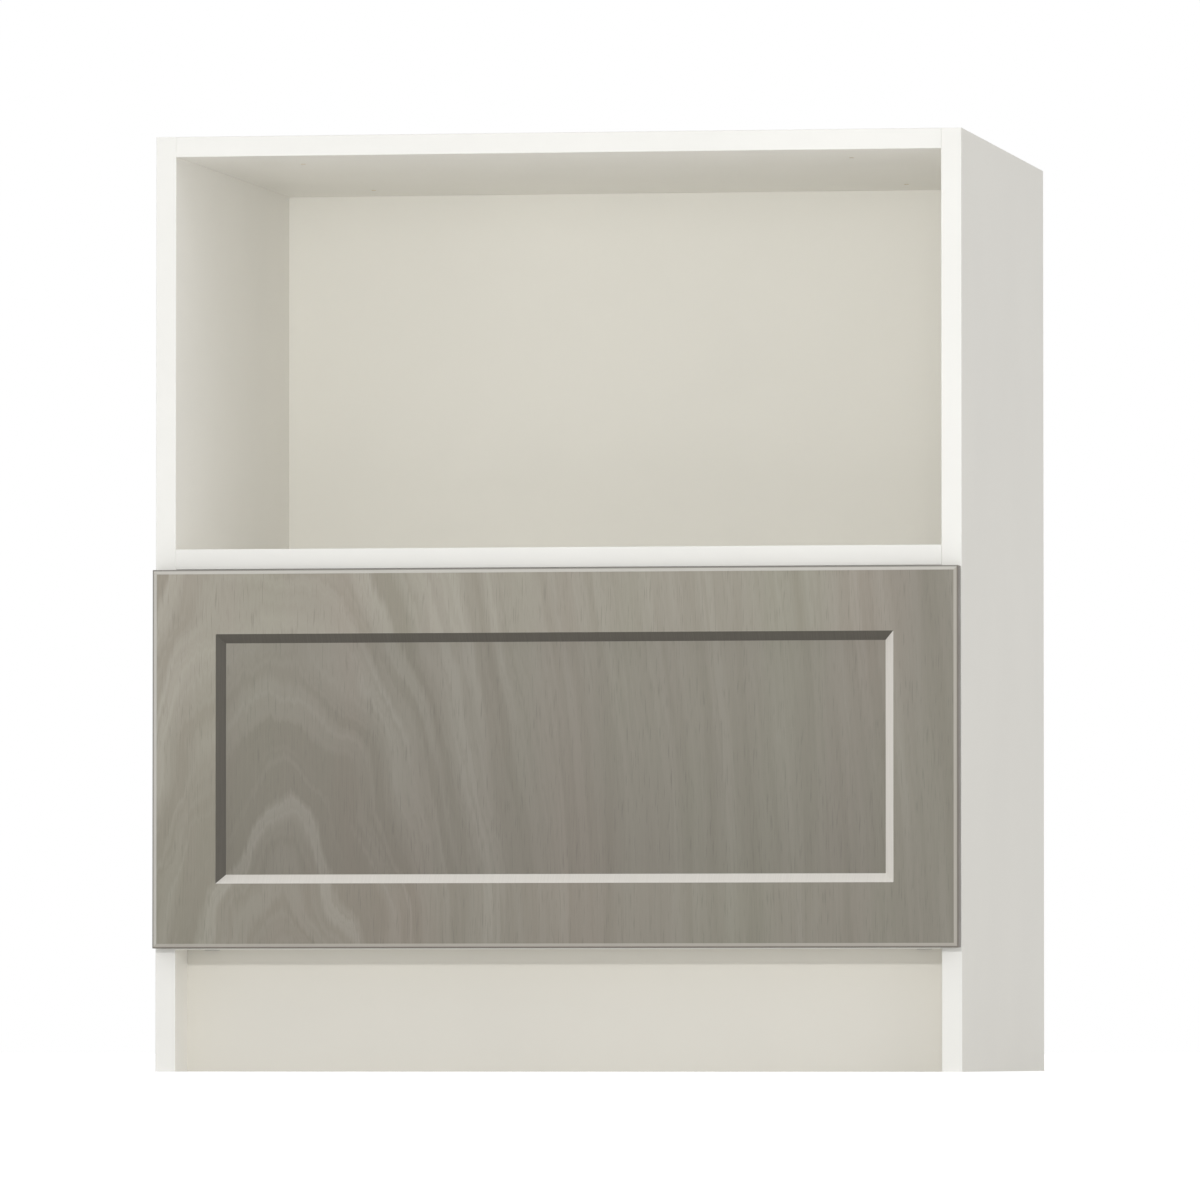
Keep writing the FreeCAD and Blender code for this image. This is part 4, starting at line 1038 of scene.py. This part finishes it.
class CABINET_OT_drawer_front(CabinetOperator):
    """Model the routed drawer front with softened edges"""

    bl_idname = "cabinet.drawer_front"
    bl_label = "Make Drawer Front"

    def execute(self, context):
        plan = sizes()
        lo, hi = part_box("drawer_front")
        corner = lo + Y * plan.rim_depth
        slab = Matrix.LocRotScale((corner + hi) / 2, None, hi - corner)
        shape = bmesh.new()
        bmesh.ops.create_cube(shape, size=1, matrix=slab)
        face = min(shape.faces, key=lambda item: item.calc_center_median().y)
        flat_width = plan.frame_width - plan.rim_width
        for width, rise in (
            (plan.rim_width, plan.rim_depth),
            (flat_width, 0.0),
            (plan.bevel_width, -plan.field_depth),
        ):
            bmesh.ops.inset_region(
                shape, faces=[face], thickness=width, depth=rise, use_boundary=True, use_even_offset=True
            )
        ease_edges(shape, plan.front_ease, segments=3, bend=10)
        add_piece("drawer_front_panel", shape, oak_finish(), "drawer_front", sharp=50.0)
        return {"FINISHED"}


class CABINET_OT_drawer_box(CabinetOperator):
    """Finish the dovetailed drawer box"""

    bl_idname = "cabinet.drawer_box"
    bl_label = "Finish Drawer Box"

    def execute(self, context):
        ease = sizes().box_ease
        birch = (colours().birch, colours().birch_line)
        dress(("drawer_box_left", "drawer_box_right"), wood_finish("birch_sides", 1, *birch), ease)
        dress(("drawer_box_front", "drawer_box_back"), wood_finish("birch_ends", 0, *birch), ease)
        dress(("drawer_box_base",), wood_finish("birch_base", 0, *birch), ease)
        return {"FINISHED"}


class CABINET_OT_runners(CabinetOperator):
    """Finish the nested channels, their cages and their pressed hole rims"""

    bl_idname = "cabinet.runners"
    bl_label = "Finish Runners"

    def execute(self, context):
        steel = metal_finish("zinc_plated_sheet", colours().zinc, 0.30, 6.0)
        kinds = ("cabinet_runner", "middle_runner", "drawer_runner", "outer_ball_cage", "inner_ball_cage")
        for side in SIDES:
            for kind in kinds:
                node = side + "_" + kind
                add_piece(node + "_channel", merged_copy(node), steel, node, sharp=28.0)
        for side, sign in SIDES.items():
            add_hole_rims(side, sign, steel)
            add_slot_rims(side, sign, steel)
        return {"FINISHED"}


class CABINET_OT_balls(CabinetOperator):
    """Model the polished bearing balls"""

    bl_idname = "cabinet.balls"
    bl_label = "Make Balls"

    def execute(self, context):
        chrome = metal_finish("polished_ball_steel", colours().ball, 0.10, 300.0, dull=0.95)
        for side in SIDES:
            for row in ("outer", "inner"):
                node = side + "_" + row + "_balls"
                boxes = solids_of(node)
                radius = length_along(boxes[0], X) * MM / 2
                pattern = bmesh.new()
                bmesh.ops.create_icosphere(pattern, subdivisions=3, radius=radius)
                places = [Matrix.Translation((low + high) / 2) for low, high in boxes]
                shape = repeated(pattern, places)
                add_piece(node + "_round", shape, chrome, node, sharp=80.0)
        return {"FINISHED"}


class CABINET_OT_cam_fittings(CabinetOperator):
    """Model the cam locks, the cam bolts and the fluted dowels"""

    bl_idname = "cabinet.cam_fittings"
    bl_label = "Make Cam Fittings"

    def execute(self, context):
        zinc = metal_finish("cast_zinc_alloy", colours().cast, 0.42, 400.0)
        add_fittings("cam_lock_set", "cam_locks", cam_face, cam, zinc)
        steel = metal_finish("plated_bolt", colours().screw, 0.32, 200.0)
        add_fittings("cam_bolt_set", "cam_bolts", inward, cam_bolt, steel)
        wood = wood_finish("beech_dowel_wood", 0, colours().beech, colours().beech_line)
        for node in ("joint_dowels", "nailer_dowels"):
            add_fittings("fluted_" + node, node, lambda box: X, dowel, wood, sharp=60.0)
        return {"FINISHED"}


class CABINET_OT_screws(CabinetOperator):
    """Model the countersunk and round-head screws and the rivets"""

    bl_idname = "cabinet.screws"
    bl_label = "Make Screws"

    def execute(self, context):
        steel = metal_finish("plated_screw_steel", colours().screw, 0.30, 250.0)
        for node, direction_of, fitting_of in FASTENERS:
            name = node.removesuffix("s") + "_set"
            add_fittings(name, node, direction_of, fitting_of, steel)
        return {"FINISHED"}


class CABINET_OT_plastics(CabinetOperator):
    """Model the release levers, the stops and the soft bumpers"""

    bl_idname = "cabinet.plastics"
    bl_label = "Make Plastic Pieces"

    def execute(self, context):
        black = plastic_finish("black_moulded_plastic", colours().plastic, 0.45)
        for side in SIDES:
            node = side + "_release_lever"
            shape = merged_copy(node)
            ease_edges(shape, sizes().lever_ease, segments=2, bend=40)
            bmesh.ops.dissolve_degenerate(shape, dist=0.01 * MM, edges=shape.edges)
            add_piece(node + "_moulding", shape, black, node)
        dress(("runner_stop_bumpers",), black, sizes().stop_ease)
        rubber = plastic_finish("clear_bumper_rubber", colours().bumper, 0.3, clear=0.35)
        add_fittings("front_bumper_set", "front_bumpers", lambda box: Y, bumper, rubber)
        return {"FINISHED"}


class CABINET_OT_stage(CabinetOperator):
    """Set up the floor, the lamps, the white background and the camera"""

    bl_idname = "cabinet.stage"
    bl_label = "Set Stage"

    def execute(self, context):
        plan = studio()
        add_floor()
        set_background(context.scene)
        add_distant_lamp("low_lamp", plan.low_level, *LOW_LAMP)
        add_near_lamp("front_lamp", plan.front_level, Vector(plan.front_place), plan.front_radius)
        add_distant_lamp("raking_lamp", plan.rake_level, *RAKING_LAMP)
        add_distant_lamp("side_lamp", plan.side_level, *SIDE_LAMP)
        add_camera(context.scene)
        context.scene.view_settings.view_transform = "Standard"
        return {"FINISHED"}


class CABINET_PT_sidebar(bpy.types.Panel):
    """Lists the cabinet's operators and settings"""

    bl_idname = "CABINET_PT_sidebar"
    bl_label = "Microwave Base Cabinet"
    bl_space_type = "VIEW_3D"
    bl_region_type = "UI"
    bl_category = "Cabinet"

    def draw(self, context):
        for operator in OPERATORS:
            self.layout.operator(operator.bl_idname)
        for group in (colours(), sizes(), studio()):
            box = self.layout.box()
            for name in group.bl_rna.properties.keys():
                if name not in ("rna_type", "name"):
                    box.prop(group, name)


OPERATORS = (
    CABINET_OT_boards,
    CABINET_OT_edge_bands,
    CABINET_OT_drawer_front,
    CABINET_OT_drawer_box,
    CABINET_OT_runners,
    CABINET_OT_balls,
    CABINET_OT_cam_fittings,
    CABINET_OT_screws,
    CABINET_OT_plastics,
    CABINET_OT_stage,
)
GROUPS = {
    "cabinet_colours": CabinetColours,
    "cabinet_sizes": CabinetSizes,
    "cabinet_studio": CabinetStudio,
}
CLASSES = (*GROUPS.values(), *OPERATORS, CABINET_PT_sidebar)


def register():
    for item in CLASSES:
        bpy.utils.register_class(item)
    for name, group in GROUPS.items():
        setattr(bpy.types.Scene, name, PointerProperty(type=group))


def unregister():
    for name in GROUPS:
        delattr(bpy.types.Scene, name)
    for item in reversed(CLASSES):
        bpy.utils.unregister_class(item)


def main():
    register()
    for operator in OPERATORS:
        group, name = operator.bl_idname.split(".")
        getattr(getattr(bpy.ops, group), name)()
    bpy.context.view_layer.update()


if __name__ == "__main__":
    main()
